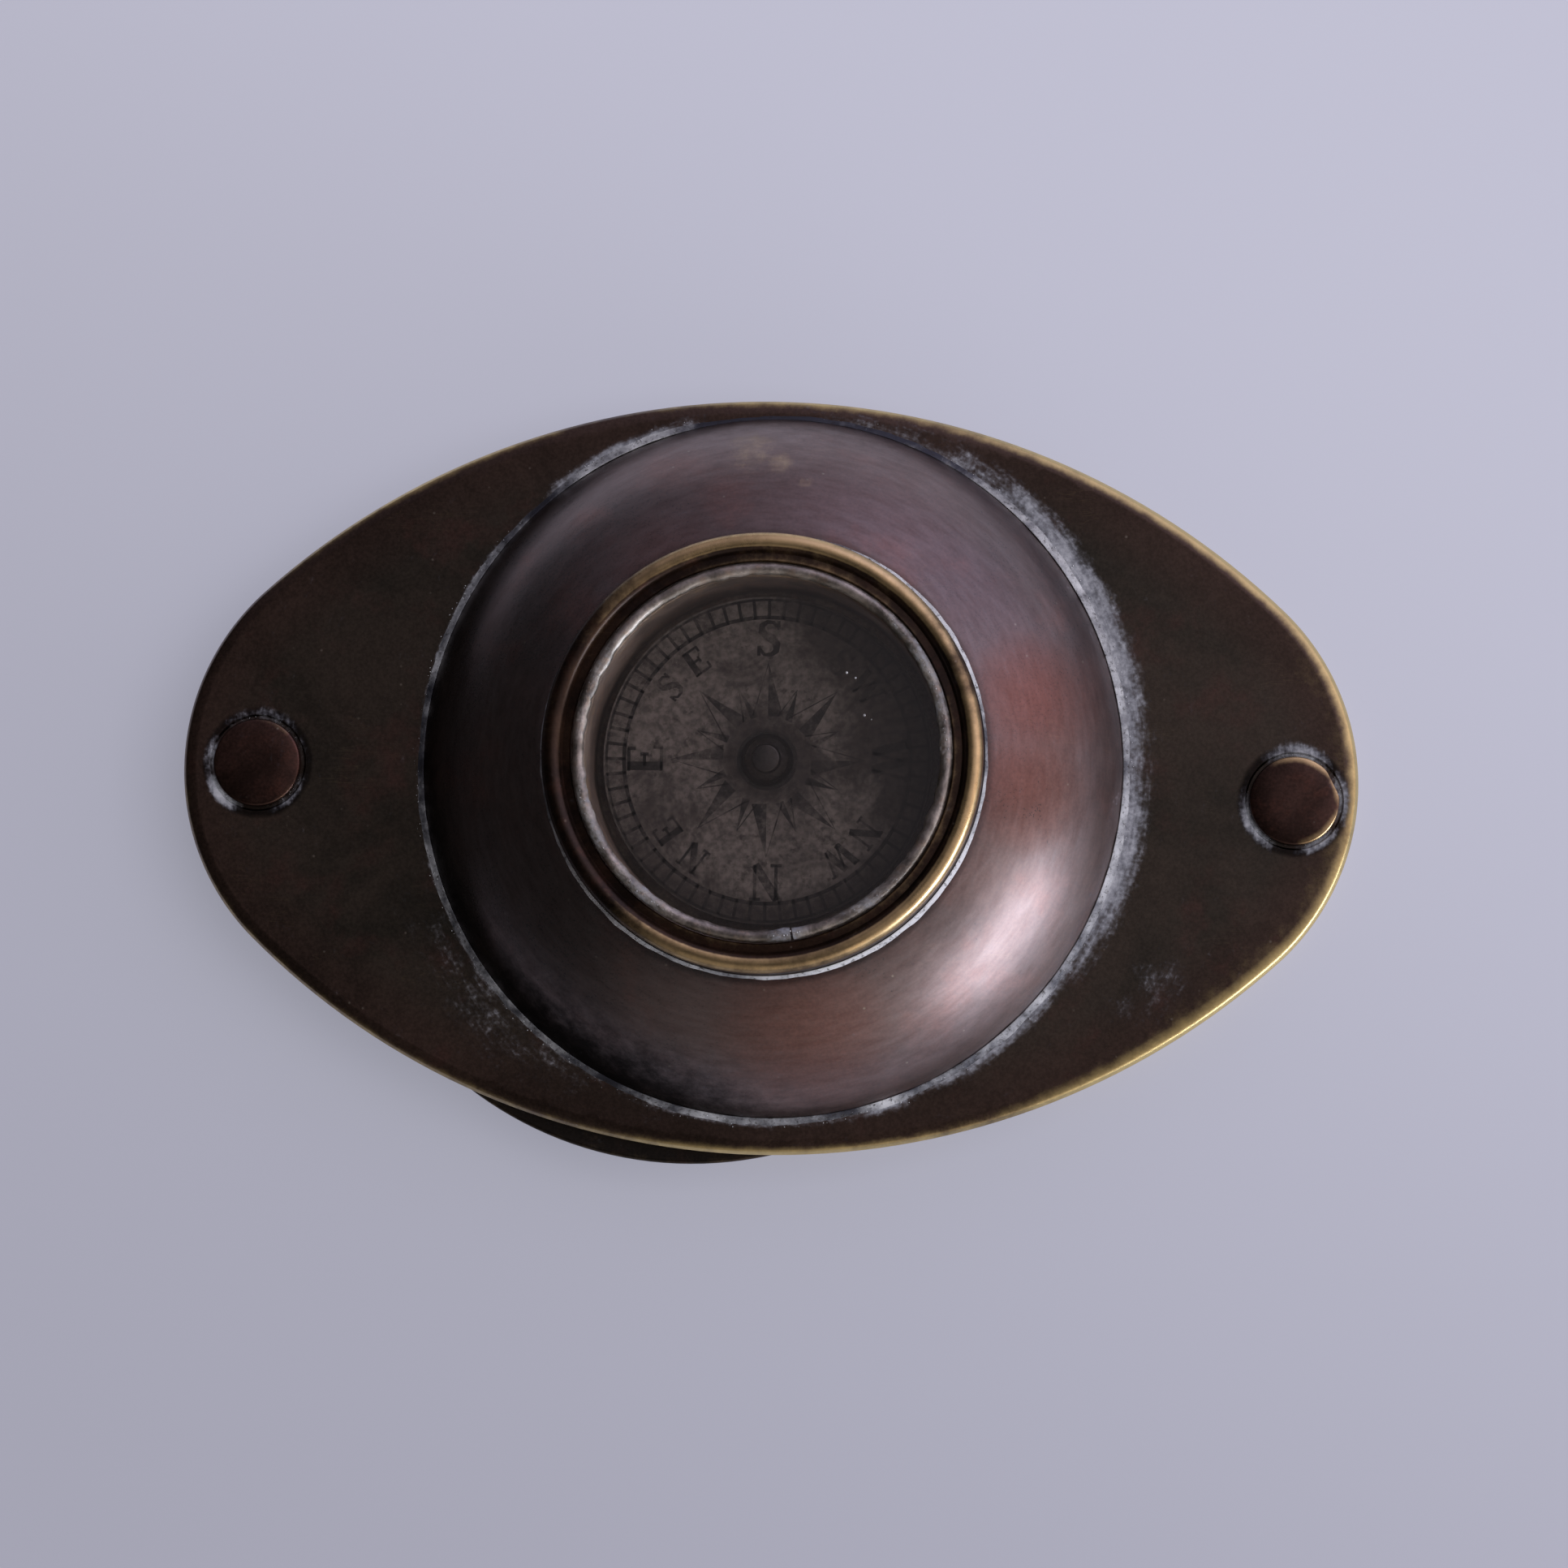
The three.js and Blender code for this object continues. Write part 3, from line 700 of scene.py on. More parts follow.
# %% Turning marks and dried polish
COMPASS_AXIS = (compass_centre.x * MM, compass_centre.y * MM, 0)
MARKS_ROUND = 9  # how often the marks change along a turn
MARKS_ACROSS = 2600  # and from ring to ring, in a metre
WIPE_MARKS = 0.22  # of the cloth that wiped the polish round the dome
POLISH_GRAINS = 3400
POLISH_LUMPS = 620
POLISH_THIN = (0.1, 0.105, 0.125, 1)
POLISH_THICK = (0.5, 0.51, 0.55, 1)


def turning_group():
    """Fine broken rings round an axis, from -1 to 1 times the amount."""
    inputs = [("Vector", "Vector"), ("Axis", "Vector"), ("Amount", "Float")]
    tree, given, result = new_group("turning_marks", inputs, [("Streaks", "Float")])
    spoke = vector_math(tree, "SUBTRACT", given["Vector"], given["Axis"]).outputs[0]
    flat = vector_math(tree, "MULTIPLY", spoke, (1, 1, 0)).outputs[0]
    across = vector_math(tree, "LENGTH", flat).outputs["Value"]
    along = vector_math(tree, "SCALE", vector_math(tree, "NORMALIZE", flat).outputs[0])
    along.inputs["Scale"].default_value = MARKS_ROUND
    level = calculated(tree, "MULTIPLY", across, MARKS_ACROSS)
    level = add_node(tree, "ShaderNodeCombineXYZ", {"Z": level}).outputs[0]
    marks = cloud(tree, vector_math(tree, "ADD", along.outputs[0], level).outputs[0], 1, detail=3)
    spread = calculated(tree, "MULTIPLY", about_zero(tree, marks), 3.0)
    tree.links.new(calculated(tree, "MULTIPLY", spread, given["Amount"]), result["Streaks"])
    return tree


def polish_group():
    """Grainy dirt that fills in as the amount grows, blue-grey where it is thin and white where thick."""
    outputs = [("Mask", "Float"), ("Color", "Color")]
    tree, given, result = new_group("dried_polish", [("Vector", "Vector"), ("Amount", "Float")], outputs)
    grains = cloud(tree, given["Vector"], POLISH_GRAINS, detail=3)
    lumps = cloud(tree, given["Vector"], POLISH_LUMPS, detail=3)
    sockets = {"Vector": given["Vector"], "Axis": COMPASS_AXIS, "Amount": WIPE_MARKS}
    wiped = grouped(tree, TURNING, sockets)["Streaks"]
    rough = calculated(tree, "MULTIPLY_ADD", calculated(tree, "ADD", grains, lumps), 0.7, wiped)
    mask = smooth_step(tree, calculated(tree, "ADD", rough, given["Amount"]), 0.82, 1.5)
    white = smooth_step(tree, calculated(tree, "MULTIPLY_ADD", given["Amount"], 0.6, rough), 0.86, 1.75)
    tree.links.new(mask, result["Mask"])
    tree.links.new(mixed(tree, white, POLISH_THIN, POLISH_THICK), result["Color"])
    return tree


TURNING = turning_group()
POLISH = polish_group()
print(TURNING.name, "and", POLISH.name, "have", len(TURNING.nodes), "and", len(POLISH.nodes), "nodes")

# %% [markdown]
# ## Metals
#
# One recipe makes every metal of the object. The patina group gives the colour, bare brass shows where the
# wear attribute is high (on the plates' rim it is also a painted sheen), grime with painted shade darkens
# it, and dried polish lies on top where the polish attribute is. Old lacquer and wax lie over it all as a
# coat, which is why the highlights are white and not brown. What differs is how dark the patina is, how
# large its clouds are, and how smooth it was rubbed.

# %% What a metal is made of
BRASS = (0.72, 0.52, 0.26, 1)
SPECK_COLOUR = (0.3, 0.26, 0.2, 1)
# Dark colour of grime, which also serves as painted shade in the rivets' grooves and round the dome's foot.
GRIME_AND_SHADE = (0.014, 0.012, 0.011, 1)
SPECK_STRENGTH = 0.8
STREAK_TONE = 0.2  # how much the turning marks change the patina's tone
STREAK_COAT = 0.6  # and the weight of the coat
PATINA_UNEVEN = (-0.05, 0.07)  # roughness that the patina takes away or adds
GRIME_AND_SHADE_DULLS = 0.7
RUDDY_DULLS = 0.7
DIRT_AND_SHADE_ROUGHNESS = 0.85
POLISH_HEIGHT = 2.0
BUMP_DISTANCE = 0.00003  # metres


def attribute(tree, name):
    return add_node(tree, "ShaderNodeAttribute", attribute_name=name).outputs["Fac"]


def marks_on(tree, place, scratches, marks):
    """Where a metal is worn, grimy with painted shade, ruddy, scratched, streaked by turning or under dried
    polish.
    """
    axis = {"Vector": place, "Axis": COMPASS_AXIS, "Amount": marks}
    polish = grouped(tree, POLISH, {"Vector": place, "Amount": attribute(tree, "polish")})
    found = {
        "ruddy": attribute(tree, "ruddy"),
        "lines": grouped(tree, SCRATCHES, {"Vector": place, "Amount": scratches})["Mask"],
        "streaks": grouped(tree, TURNING, axis)["Streaks"],
        "polish": polish["Mask"],
        "polish_colour": polish["Color"],
    }
    for name in ("wear", "grime_and_shade"):
        found[name] = grouped(tree, WEAR, {"Vector": place, "Wear": attribute(tree, name)})["Mask"]
    dulled = calculated(tree, "MULTIPLY", found["grime_and_shade"], GRIME_AND_SHADE_DULLS)
    found["dirt"] = calculated(tree, "MAXIMUM", found["polish"], dulled)
    return found


def metal_colour(tree, patina, found, brass):
    speckled = calculated(tree, "MULTIPLY", patina["Specks"], SPECK_STRENGTH)
    colour = mixed(tree, speckled, patina["Color"], SPECK_COLOUR)
    tone = calculated(tree, "MULTIPLY_ADD", found["streaks"], STREAK_TONE, 1.0)
    colour = vector_math(tree, "MULTIPLY", colour, tone).outputs[0]
    colour = mixed(tree, calculated(tree, "MAXIMUM", found["wear"], found["lines"]), colour, brass)
    colour = mixed(tree, found["grime_and_shade"], colour, GRIME_AND_SHADE)
    return mixed(tree, found["polish"], colour, found["polish_colour"])


def metal_roughness(tree, patina, found, shine):
    uneven = smooth_step(tree, patina["Height"], 0.6, 1.4, *PATINA_UNEVEN)
    uneven = calculated(tree, "ADD", uneven, smooth_step(tree, found["wear"], 0, 1, *shine))
    return calculated(tree, "MAXIMUM", uneven, calculated(tree, "MULTIPLY", found["dirt"], DIRT_AND_SHADE_ROUGHNESS))


def metal_coat(tree, found, coat):
    """Weight of the wax, which is streaked by the turning marks and missing where dirt and painted shade lie.
    """
    bare = calculated(tree, "MAXIMUM", found["dirt"], found["grime_and_shade"])
    bare = calculated(tree, "MAXIMUM", bare, calculated(tree, "MULTIPLY", found["ruddy"], RUDDY_DULLS))
    waxed = calculated(tree, "MULTIPLY_ADD", found["streaks"], STREAK_COAT * coat, coat)
    return calculated(tree, "MULTIPLY", waxed, calculated(tree, "SUBTRACT", 1.0, bare))


def metal_relief(tree, patina, found, bump):
    height = calculated(tree, "MULTIPLY_ADD", found["polish"], POLISH_HEIGHT, patina["Height"])
    height = calculated(tree, "ADD", height, found["streaks"])
    sockets = {"Height": height, "Strength": bump, "Distance": BUMP_DISTANCE}
    return add_node(tree, "ShaderNodeBump", sockets).outputs[0]


print("bare brass:", BRASS[:3])

# %% Metal recipe
SCRATCHED = 0.05
RELIEF = 0.12
COAT = 0.2
COAT_ROUGHNESS = 0.27
COAT_IOR = 2.0


def metal(
    name, tones, clouds, shine, brass=BRASS, bump=RELIEF, coat=COAT, coat_rough=COAT_ROUGHNESS, marks=0.0,
    dull=0.0,
):
    """A metal of dark, brown and red tones, with roughness from shine[0] on patina to shine[1] where worn."""
    material, tree, shader = new_material(name)
    place = object_place(tree)
    dark, brown, red = ((*tone, 1) for tone in tones)
    found = marks_on(tree, place, SCRATCHED, marks)
    colours = {"Dark": dark, "Brown": brown, "Red": red, "Ruddy": found["ruddy"]}
    patina = grouped(tree, PATINA, {"Vector": place, "Clouds": clouds, **colours})
    made = {
        "Base Color": metal_colour(tree, patina, found, brass),
        "Roughness": metal_roughness(tree, patina, found, shine),
        "Metallic": smooth_step(tree, found["polish"], 0, 1, 1 - dull, 0),
        "Coat Weight": metal_coat(tree, found, coat),
        "Normal": metal_relief(tree, patina, found, bump),
    }
    for socket, value in made.items():
        tree.links.new(value, shader.inputs[socket])
    shader.inputs["Coat Roughness"].default_value = coat_rough
    shader.inputs["Coat IOR"].default_value = COAT_IOR
    return material


plate_bronze = metal(
    "plate_bronze", ((0.052, 0.046, 0.032), (0.088, 0.068, 0.048), (0.125, 0.064, 0.048)),
    clouds=75, shine=(0.4, 0.36), brass=(0.74, 0.58, 0.25, 1),
)
dome_bronze = metal(
    "dome_bronze", ((0.09, 0.049, 0.041), (0.132, 0.067, 0.053), (0.18, 0.068, 0.048)),
    clouds=60, shine=(0.32, 0.3), coat=0.9, coat_rough=0.38, marks=0.6,
)
rivet_bronze = metal(
    "rivet_bronze", ((0.062, 0.034, 0.026), (0.105, 0.056, 0.042), (0.13, 0.057, 0.04)),
    clouds=210, shine=(0.38, 0.28), coat=0.08,
)
leaf_bronze = metal(
    "leaf_bronze", ((0.03, 0.024, 0.018), (0.06, 0.045, 0.033), (0.07, 0.038, 0.027)),
    clouds=80, shine=(0.4, 0.3),
)
bowl_bronze = metal(
    "bowl_bronze", ((0.12, 0.086, 0.07), (0.27, 0.2, 0.165), (0.22, 0.13, 0.095)),
    clouds=260, shine=(0.55, 0.5), dull=0.8,
)
print("nodes in a bronze:", len(dome_bronze.node_tree.nodes))

# %% Brass, steel and wire
bezel_brass = metal(
    "bezel_brass", ((0.028, 0.017, 0.012), (0.056, 0.032, 0.019), (0.075, 0.035, 0.022)),
    clouds=230, shine=(0.46, 0.3), brass=(0.86, 0.63, 0.31, 1), coat=0.1, marks=0.4,
)
worn_brass = metal(
    "worn_brass", ((0.2, 0.13, 0.06), (0.42, 0.28, 0.12), (0.3, 0.14, 0.07)),
    clouds=150, shine=(0.38, 0.28),
)
cap_brass = metal(
    "cap_brass", ((0.06, 0.053, 0.048), (0.1, 0.09, 0.08), (0.08, 0.064, 0.054)),
    clouds=300, shine=(0.34, 0.3),
)
pin_steel = metal(
    "pin_steel", ((0.2, 0.2, 0.2), (0.4, 0.4, 0.41), (0.25, 0.18, 0.14)),
    clouds=200, shine=(0.4, 0.3), brass=(0.6, 0.6, 0.6, 1),
)
ring_wire = metal(
    "ring_wire", ((0.2, 0.18, 0.15), (0.58, 0.53, 0.46), (0.4, 0.31, 0.23)),
    clouds=420, shine=(0.5, 0.45), brass=(0.5, 0.48, 0.45, 1), bump=0.6,
)
print("materials so far:", len(bpy.data.materials))

# %% [markdown]
# ## Where dirt sits, where hands rub, and where shade and sheen are painted
#
# Polish dries where a cloth can't reach: round the dome's foot, in the grooves round the rivet heads and
# along the bezel. It isn't even there, so each seam has a short list of patches, read off the photograph
# by the clock. The same list drives the dirt on the metal, the shape of the solder and the loose crumbs;
# on the wire's right side the white polish also stands in for glints, as painted highlights. Grime with
# painted shade, and rubbed edges with a painted sheen on the plates' rim, are listed in the same way. A
# patch is strongest at its middle and fades round the seam and away from it.

# %% Patches, each with degrees round from +X, spread in degrees, strength and reach in millimetres
FOOT_PATCHES = (
    (117, 17, 1.1, 1.0), (70, 22, 0.45, 1.3), (28, 44, 1.0, 2.2), (-14, 26, 0.95, 2.1),
    (-45, 28, 0.85, 1.2), (-70, 7, 1.0, 0.9), (-92, 32, 0.75, 0.75), (-135, 30, 0.65, 0.6),
    (155, 30, 0.8, 0.55), (200, 30, 0.75, 0.55), (-138, 24, 0.33, 4.5),
)
PIVOT_PATCHES = ((-140, 36, 1.2, 0.6), (-45, 40, 0.55, 0.4), (80, 95, 0.45, 0.7), (170, 40, 0.55, 0.6))
FAR_PATCHES = ((85, 50, 0.85, 0.8), (5, 40, 0.7, 0.6), (-60, 35, 0.9, 0.5), (-150, 50, 0.8, 0.6))
BEZEL_PATCHES = ((-50, 60, 1.0, 1), (40, 45, 0.75, 1), (-130, 50, 0.7, 1), (175, 30, 0.5, 1))
# Dried polish on the wire, listed like the patches; the white patches on its right side also stand in for
# glints, as painted highlights.
WIRE_POLISH_AND_GLINTS = (
    (-80, 9, 1.1, 1), (-130, 18, 0.9, 1), (22, 40, 0.85, 1), (-50, 22, 0.65, 1), (-158, 24, 0.8, 1),
    (165, 35, 0.5, 1),
)
# Grime round the dome's foot, listed like the patches: dirt with painted shade, darkest on the left and at
# the lower left.
FOOT_GRIME_AND_SHADE = (
    (-165, 80, 0.9, 3.2), (-120, 48, 1.1, 6.5), (-105, 42, 0.85, 3.4), (88, 48, 0.55, 4.5),
    (130, 55, 0.6, 2.8), (40, 60, 0.35, 2),
)
BEZEL_RUBS = ((-30, 75, 1.0, 1), (80, 78, 1.0, 1), (-100, 45, 0.8, 1))
# Bare brass along the plates' rim, listed like the patches: wear, and a painted sheen that is brightest and
# widest on the right, where the rim would catch the window.
RIM_RUBS_AND_SHEEN = (
    (-25, 42, 1.1, 1.2), (-10, 45, 0.52, 2.8), (25, 70, 1.1, 0.9), (80, 40, 0.95, 0.6),
    (140, 28, 0.9, 0.6), (-85, 50, 0.95, 0.65), (-145, 60, 0.6, 0.6),
)


def fade(distance, reach):
    """1 at no distance, 0 at the reach and past it."""
    return max(0.0, 1 - (distance / reach) ** 2)


def patchy(place, centre, patches, distance=0.0):
    """Strength of the patches at a place round a centre, at a distance from the seam that they lie along."""
    angle = math.degrees(math.atan2(place[1] - centre[1], place[0] - centre[0]))
    best = 0.0
    for middle, spread, strength, reach in patches:
        away = abs((angle - middle + 180) % 360 - 180) / spread
        best = max(best, strength * (1 - away**2) * fade(distance, reach))
    return best


def spotted(place, spots):
    """Strength of round spots at a place, each with x, y, size and strength."""
    return max(strength * fade(math.dist(place[:2], (x, y)), size) for x, y, size, strength in spots)


print("patches of polish round the foot:", len(FOOT_PATCHES), "and round the wire:", len(WIRE_POLISH_AND_GLINTS))

# %% [markdown]
# ## Plates
#
# Two alike ovals of thin sheet. The edges were rounded with a file and then by years of pockets, so bare
# brass shows along the rim, about a millimetre wide on the sides that were handled and thinner elsewhere;
# the rim's brass is also painted brighter and wider on the right than on the left, as a painted sheen. The
# upper plate has a shallow groove round each rivet's head, where dirt collects and a dark ring of painted
# shade lies, and the lower one has countersinks for the rivets' tails. The lines of points follow the rim,
# the dome's foot and the grooves, because that is where wear, dirt and painted shade change quickly.

# %% Wear, dirt, and painted shade and sheen on the plates
RIVET_RADIUS = radius_of("pivot_rivet")
GROOVE_RADIUS = RIVET_RADIUS + 0.3
DOME_FOOT = radius_of("compass_dome")
RUBBED_SPOTS = ((25.4, -12.6, 2.4, 0.32), (23.2, -14.6, 1.6, 0.3))  # x, y, size and strength
THIN_RIM = (0.3, 0.5)  # wear at the very edge all the way round, and its reach
RUDDY_RIM = (0.45, 4.4)  # the red bloom inside the rim, and its reach
# Round each rivet's groove lies dirt together with a dark ring of painted shade.
GROOVE_GRIME_AND_SHADE = (0.9, 0.15, 0.5)  # strength, distance from the groove to the thickest, and reach past that


def rim_distance(x, y):
    """Distance of a place on the plates from their outline."""
    past_tip = abs(x) - oval_tip
    if past_tip > 0 and abs(y) * oval_tip < past_tip * oval_drop:
        return OVAL_TIP_RADIUS - math.hypot(past_tip, y)
    return oval_side - math.hypot(x, abs(y) + oval_drop)


# Wear along the rim, with the rim's sheen painted in as bare brass.
def plate_wear_and_sheen(place):
    distance = max(rim_distance(place.x, place.y), 0)
    strength, reach = THIN_RIM
    return max(patchy(place, (0, 0), RIM_RUBS_AND_SHEEN, distance), strength * fade(distance, reach))


def plate_ruddy(place):
    strength, reach = RUDDY_RIM
    return strength * fade(max(rim_distance(place.x, place.y), 0), reach)


def plate_polish(place):
    spot = place.to_2d()
    amount = patchy(spot, compass_centre, FOOT_PATCHES, math.dist(spot, compass_centre) - DOME_FOOT)
    amount = max(amount, spotted(place, RUBBED_SPOTS))
    for centre, patches in ((pivot_centre, PIVOT_PATCHES), (far_centre, FAR_PATCHES)):
        amount = max(amount, patchy(spot, centre, patches, math.dist(spot, centre) - GROOVE_RADIUS))
    return amount


# A dark ring round each groove: dirt with painted shade.
def plate_grime_and_shade(place):
    strength, thickest, reach = GROOVE_GRIME_AND_SHADE
    around = [math.dist(place.to_2d(), centre) - GROOVE_RADIUS for centre in (pivot_centre, far_centre)]
    return strength * max(fade(distance - thickest, reach) for distance in around)


print("wear on the right tip's edge:", round(plate_wear_and_sheen(Vector((oval_tip + OVAL_TIP_RADIUS, 0))), 2))

# %% Points and edges of the plates
LOWER_ROUND = 0.25
RIM_STEPS = ((0, 0.6), (0.22, 0.2), (0.8, 0))  # insets and drops of the corners of the upper edge
RIM_ROUND = 0.35
FLAT_START = 0.01  # the flats start this far inside the last rounding
RIM_LINES = (0.95, 1.2, 1.6, 2.2, 3.2, 4.4)  # insets
FOOT_RINGS = (-0.5, -0.15, 0.1, 0.3, 0.5, 0.75, 1.0, 1.3, 1.7, 2.2, 3.0, 4.0)  # out from the dome's foot
FOOT_POINTS = 384
SPOT_RINGS = (0.1, 0.4, 0.7, 1)  # shares of a spot's size
SPOT_POINTS = 24
RIVET_RINGS = (0.2, 0.35, 0.5, 0.7, 1.0)  # distances from the grooves


def plate_edge(low, high, upwards):
    """Corners of a plate's edge, with the larger rounding on its outer face."""
    face, inner, sign = (high, low, -1) if upwards else (low, high, 1)
    corners = [(LOWER_ROUND * SUPPORT + FLAT_START, inner, 0, 0), (0, inner, LOWER_ROUND, 0)]
    corners += [(inset, face + sign * drop, RIM_ROUND, 0) for inset, drop in RIM_STEPS]
    return corners if upwards else corners[::-1]


def rim_points():
    return [spot for inset in RIM_LINES for spot in oval(inset)]


def plate_points():
    spots = rim_points()
    for x, y, size, _ in RUBBED_SPOTS:
        for share in SPOT_RINGS:
            spots += circle((x, y), share * size, SPOT_POINTS)
    for ring in FOOT_RINGS:
        spots += circle(compass_centre, DOME_FOOT + ring, FOOT_POINTS)
    for ring in RIVET_RINGS:
        for centre in (pivot_centre, far_centre):
            spots += circle(centre, GROOVE_RADIUS + ring)
    return [spot for spot in spots if rim_distance(*spot) > RIM_LINES[0] - FLAT_START]


print("points on the upper plate:", len(plate_points()))

# %% Plates
SHANK_HOLE = 1.55
TAIL_DEPTH = 0.7
GROOVE_DEPTH = 0.2
GROOVE_SLOPE = 0.1
GROOVE_ROUND = 0.06


def without_wear(spots):
    return [(x, y, 0) for x, y in spots]


def lower_plate():
    low, high = bottom_of("lower_plate"), top_of("lower_plate")
    sink = [
        (SHANK_HOLE + TAIL_DEPTH, low, 0, 0), (SHANK_HOLE, low + TAIL_DEPTH, 0, 0), (SHANK_HOLE, high, 0, 0),
    ]
    holes = [(pivot_centre, sink), (far_centre, sink)]
    edge, points = plate_edge(low, high, False), without_wear(rim_points())
    piece = sheet_piece("lower_plate_sheet", oval, edge, holes, plate_bronze, points)
    paint(piece, "wear", plate_wear_and_sheen)
    keep(piece, "case", "plate_bronze", "lower_plate")


def upper_plate():
    low, high = bottom_of("upper_plate"), top_of("upper_plate")
    floor = high - GROOVE_DEPTH
    groove = [
        (SHANK_HOLE, low, 0, 0), (SHANK_HOLE, floor, 0, 0),
        (GROOVE_RADIUS - GROOVE_SLOPE, floor, GROOVE_ROUND, 0), (GROOVE_RADIUS, high, GROOVE_ROUND, 0),
        (GROOVE_RADIUS + GROOVE_ROUND, high, 0, 0),
    ]
    holes = [(pivot_centre, groove), (far_centre, groove)]
    edge, points = plate_edge(low, high, True), without_wear(plate_points())
    piece = sheet_piece("upper_plate_sheet", oval, edge, holes, plate_bronze, points)
    paint(piece, "wear", plate_wear_and_sheen)
    paint(piece, "polish", plate_polish)
    paint(piece, "grime_and_shade", plate_grime_and_shade)
    paint(piece, "ruddy", plate_ruddy)
    keep(piece, "case", "plate_bronze", "upper_plate")


lower_plate()
upper_plate()

# %% [markdown]
# ## Rivets, sleeves and washers
#
# Each rivet is a headed pin, spread into the lower plate's countersink and filed flush. The heads are low
# and a little domed, with worn rims. The far one was struck off centre, which left a flat on its upper
# right. Tubes keep the plates apart, and the pivot has a washer on each side of the leaf.

# %% Rivets
SHANK = 1.5
SEATED = 0.01  # air under a head
TAIL_FIT = 0.05  # air round a spread tail
HEAD_CROWN = ((0, 0), (0.5, 0.01), (0.8, 0.05))  # shares of the radius, and drops from the top
HEAD_RIM = (0.16, 0.18, 0.95)  # drop, rounding and wear of the head's rim
LEAST_RUB = 0.15  # share of the wear that the rims have all round
PIVOT_RUBS = ((60, 40, 0.3, 1), (-40, 35, 0.25, 1))
FAR_RUBS = ((75, 60, 1.0, 1), (-45, 45, 1.0, 1), (15, 30, 0.8, 1))
HEAD_FLAT = (27, 2.62)  # degrees round to the flat on the far rivet's head, and its distance from the axis
FLAT_FACING = 0.5  # the flat is looked for where its side's cosine is past this


def flattened(angle, across, height):
    turn = math.cos(angle - math.radians(HEAD_FLAT[0]))
    limit = HEAD_FLAT[1] / turn if turn > FLAT_FACING else across
    return min(across, limit), height


def rivet(node, centre, rubs, shaped=None):
    low, high = bottom_of(node), top_of(node)
    floor = plate_top - GROOVE_DEPTH + SEATED
    drop, rounding, wear = HEAD_RIM
    crown = [(RIVET_RADIUS * share, high - fall, 0, 0.1) for share, fall in HEAD_CROWN]
    corners = [
        *crown, (RIVET_RADIUS, high - drop, rounding, wear), (RIVET_RADIUS, floor, 0, 0),
        (SHANK, floor, 0, 0), (SHANK, low + TAIL_DEPTH, 0, 0),
        (SHANK + TAIL_DEPTH - TAIL_FIT, low, 0, 0.4), (0, low, 0, 0.3),
    ]
    piece = turned(node + "_pin", corners, centre, rivet_bronze, False, shaped=shaped)
    rub(piece, lambda place: LEAST_RUB + (1 - LEAST_RUB) * patchy(place, centre, rubs))
    keep(piece, "case", "rivet_bronze", node)


rivet("pivot_rivet", pivot_centre, PIVOT_RUBS)
rivet("far_rivet", far_centre, FAR_RUBS, flattened)

# %% Sleeves and washers
TUBE_ROUND = 0.08
WASHER_ROUND = 0.05
TURNING_ROOM = 0.08  # round the pivot's sleeve
turning_bore = radius_of("pivot_sleeve") + TURNING_ROOM


def tube(node, centre, bore, rounding=TUBE_ROUND):
    radius, low, high = radius_of(node), bottom_of(node), top_of(node)
    corners = [
        (bore, low, rounding, 0.3), (radius, low, rounding, 0.6), (radius, high, rounding, 0.6),
        (bore, high, rounding, 0.3),
    ]
    keep(turned(node + "_turned", corners, centre, worn_brass), "case", "worn_brass", node)


tube("pivot_sleeve", pivot_centre, SHANK_HOLE)
tube("far_sleeve", far_centre, SHANK_HOLE)
for washer in ("lower_washer", "upper_washer"):
    tube(washer, pivot_centre, turning_bore, WASHER_ROUND)

# %% [markdown]
# ## Lens leaf
#
# The leaf is a drop-shaped plate that turns on the pivot. Its bore has a seat for the lens, and a ring with
# two key slots holds the lens down. The drop is two arcs and the straight lines that touch both.

# %% Measures of the leaf and the lens
LENS_EDGE = 1.4
leaf_reach = lens_centre - pivot_centre
leaf_turn = math.atan2(leaf_reach.y, leaf_reach.x)
leaf_radius = lens_centre.y - box_of("lens_frame")[0].y
lug_radius = pivot_centre.x - box_of("lens_frame")[0].x
lens_radius = radius_of("magnifier_lens")
lens_middle = (bottom_of("magnifier_lens") + top_of("magnifier_lens")) / 2
lens_half = (top_of("magnifier_lens") - bottom_of("magnifier_lens")) / 2


def drop_outline(inset):
    touch = math.pi / 2 + math.asin((leaf_radius - lug_radius) / leaf_reach.length)
    return [
        *arc(lens_centre, leaf_radius - inset, leaf_turn - touch, leaf_turn + touch, 2 * ARC_POINTS),
        *arc(pivot_centre, lug_radius - inset, leaf_turn + touch, leaf_turn + 2 * math.pi - touch),
    ]


def lens_half_thickness(distance):
    sag = lens_half - LENS_EDGE / 2
    face_radius = (lens_radius**2 + sag**2) / (2 * sag)
    return lens_half - face_radius + math.sqrt(face_radius**2 - distance**2)


print("lens:", round(2 * lens_half, 2), "mm thick,", round(2 * lens_radius, 2), "mm across")

# %% Lens frame
LEAF_ROUND = 0.4
LENS_LIP = 0.8
LENS_FIT = 0.05
BORE_ROUND = 0.15
BORE_RIM = 0.25  # the flats start this far from the bore
LEAF_WEAR = (0.3, 2)  # strength along the edge, and reach


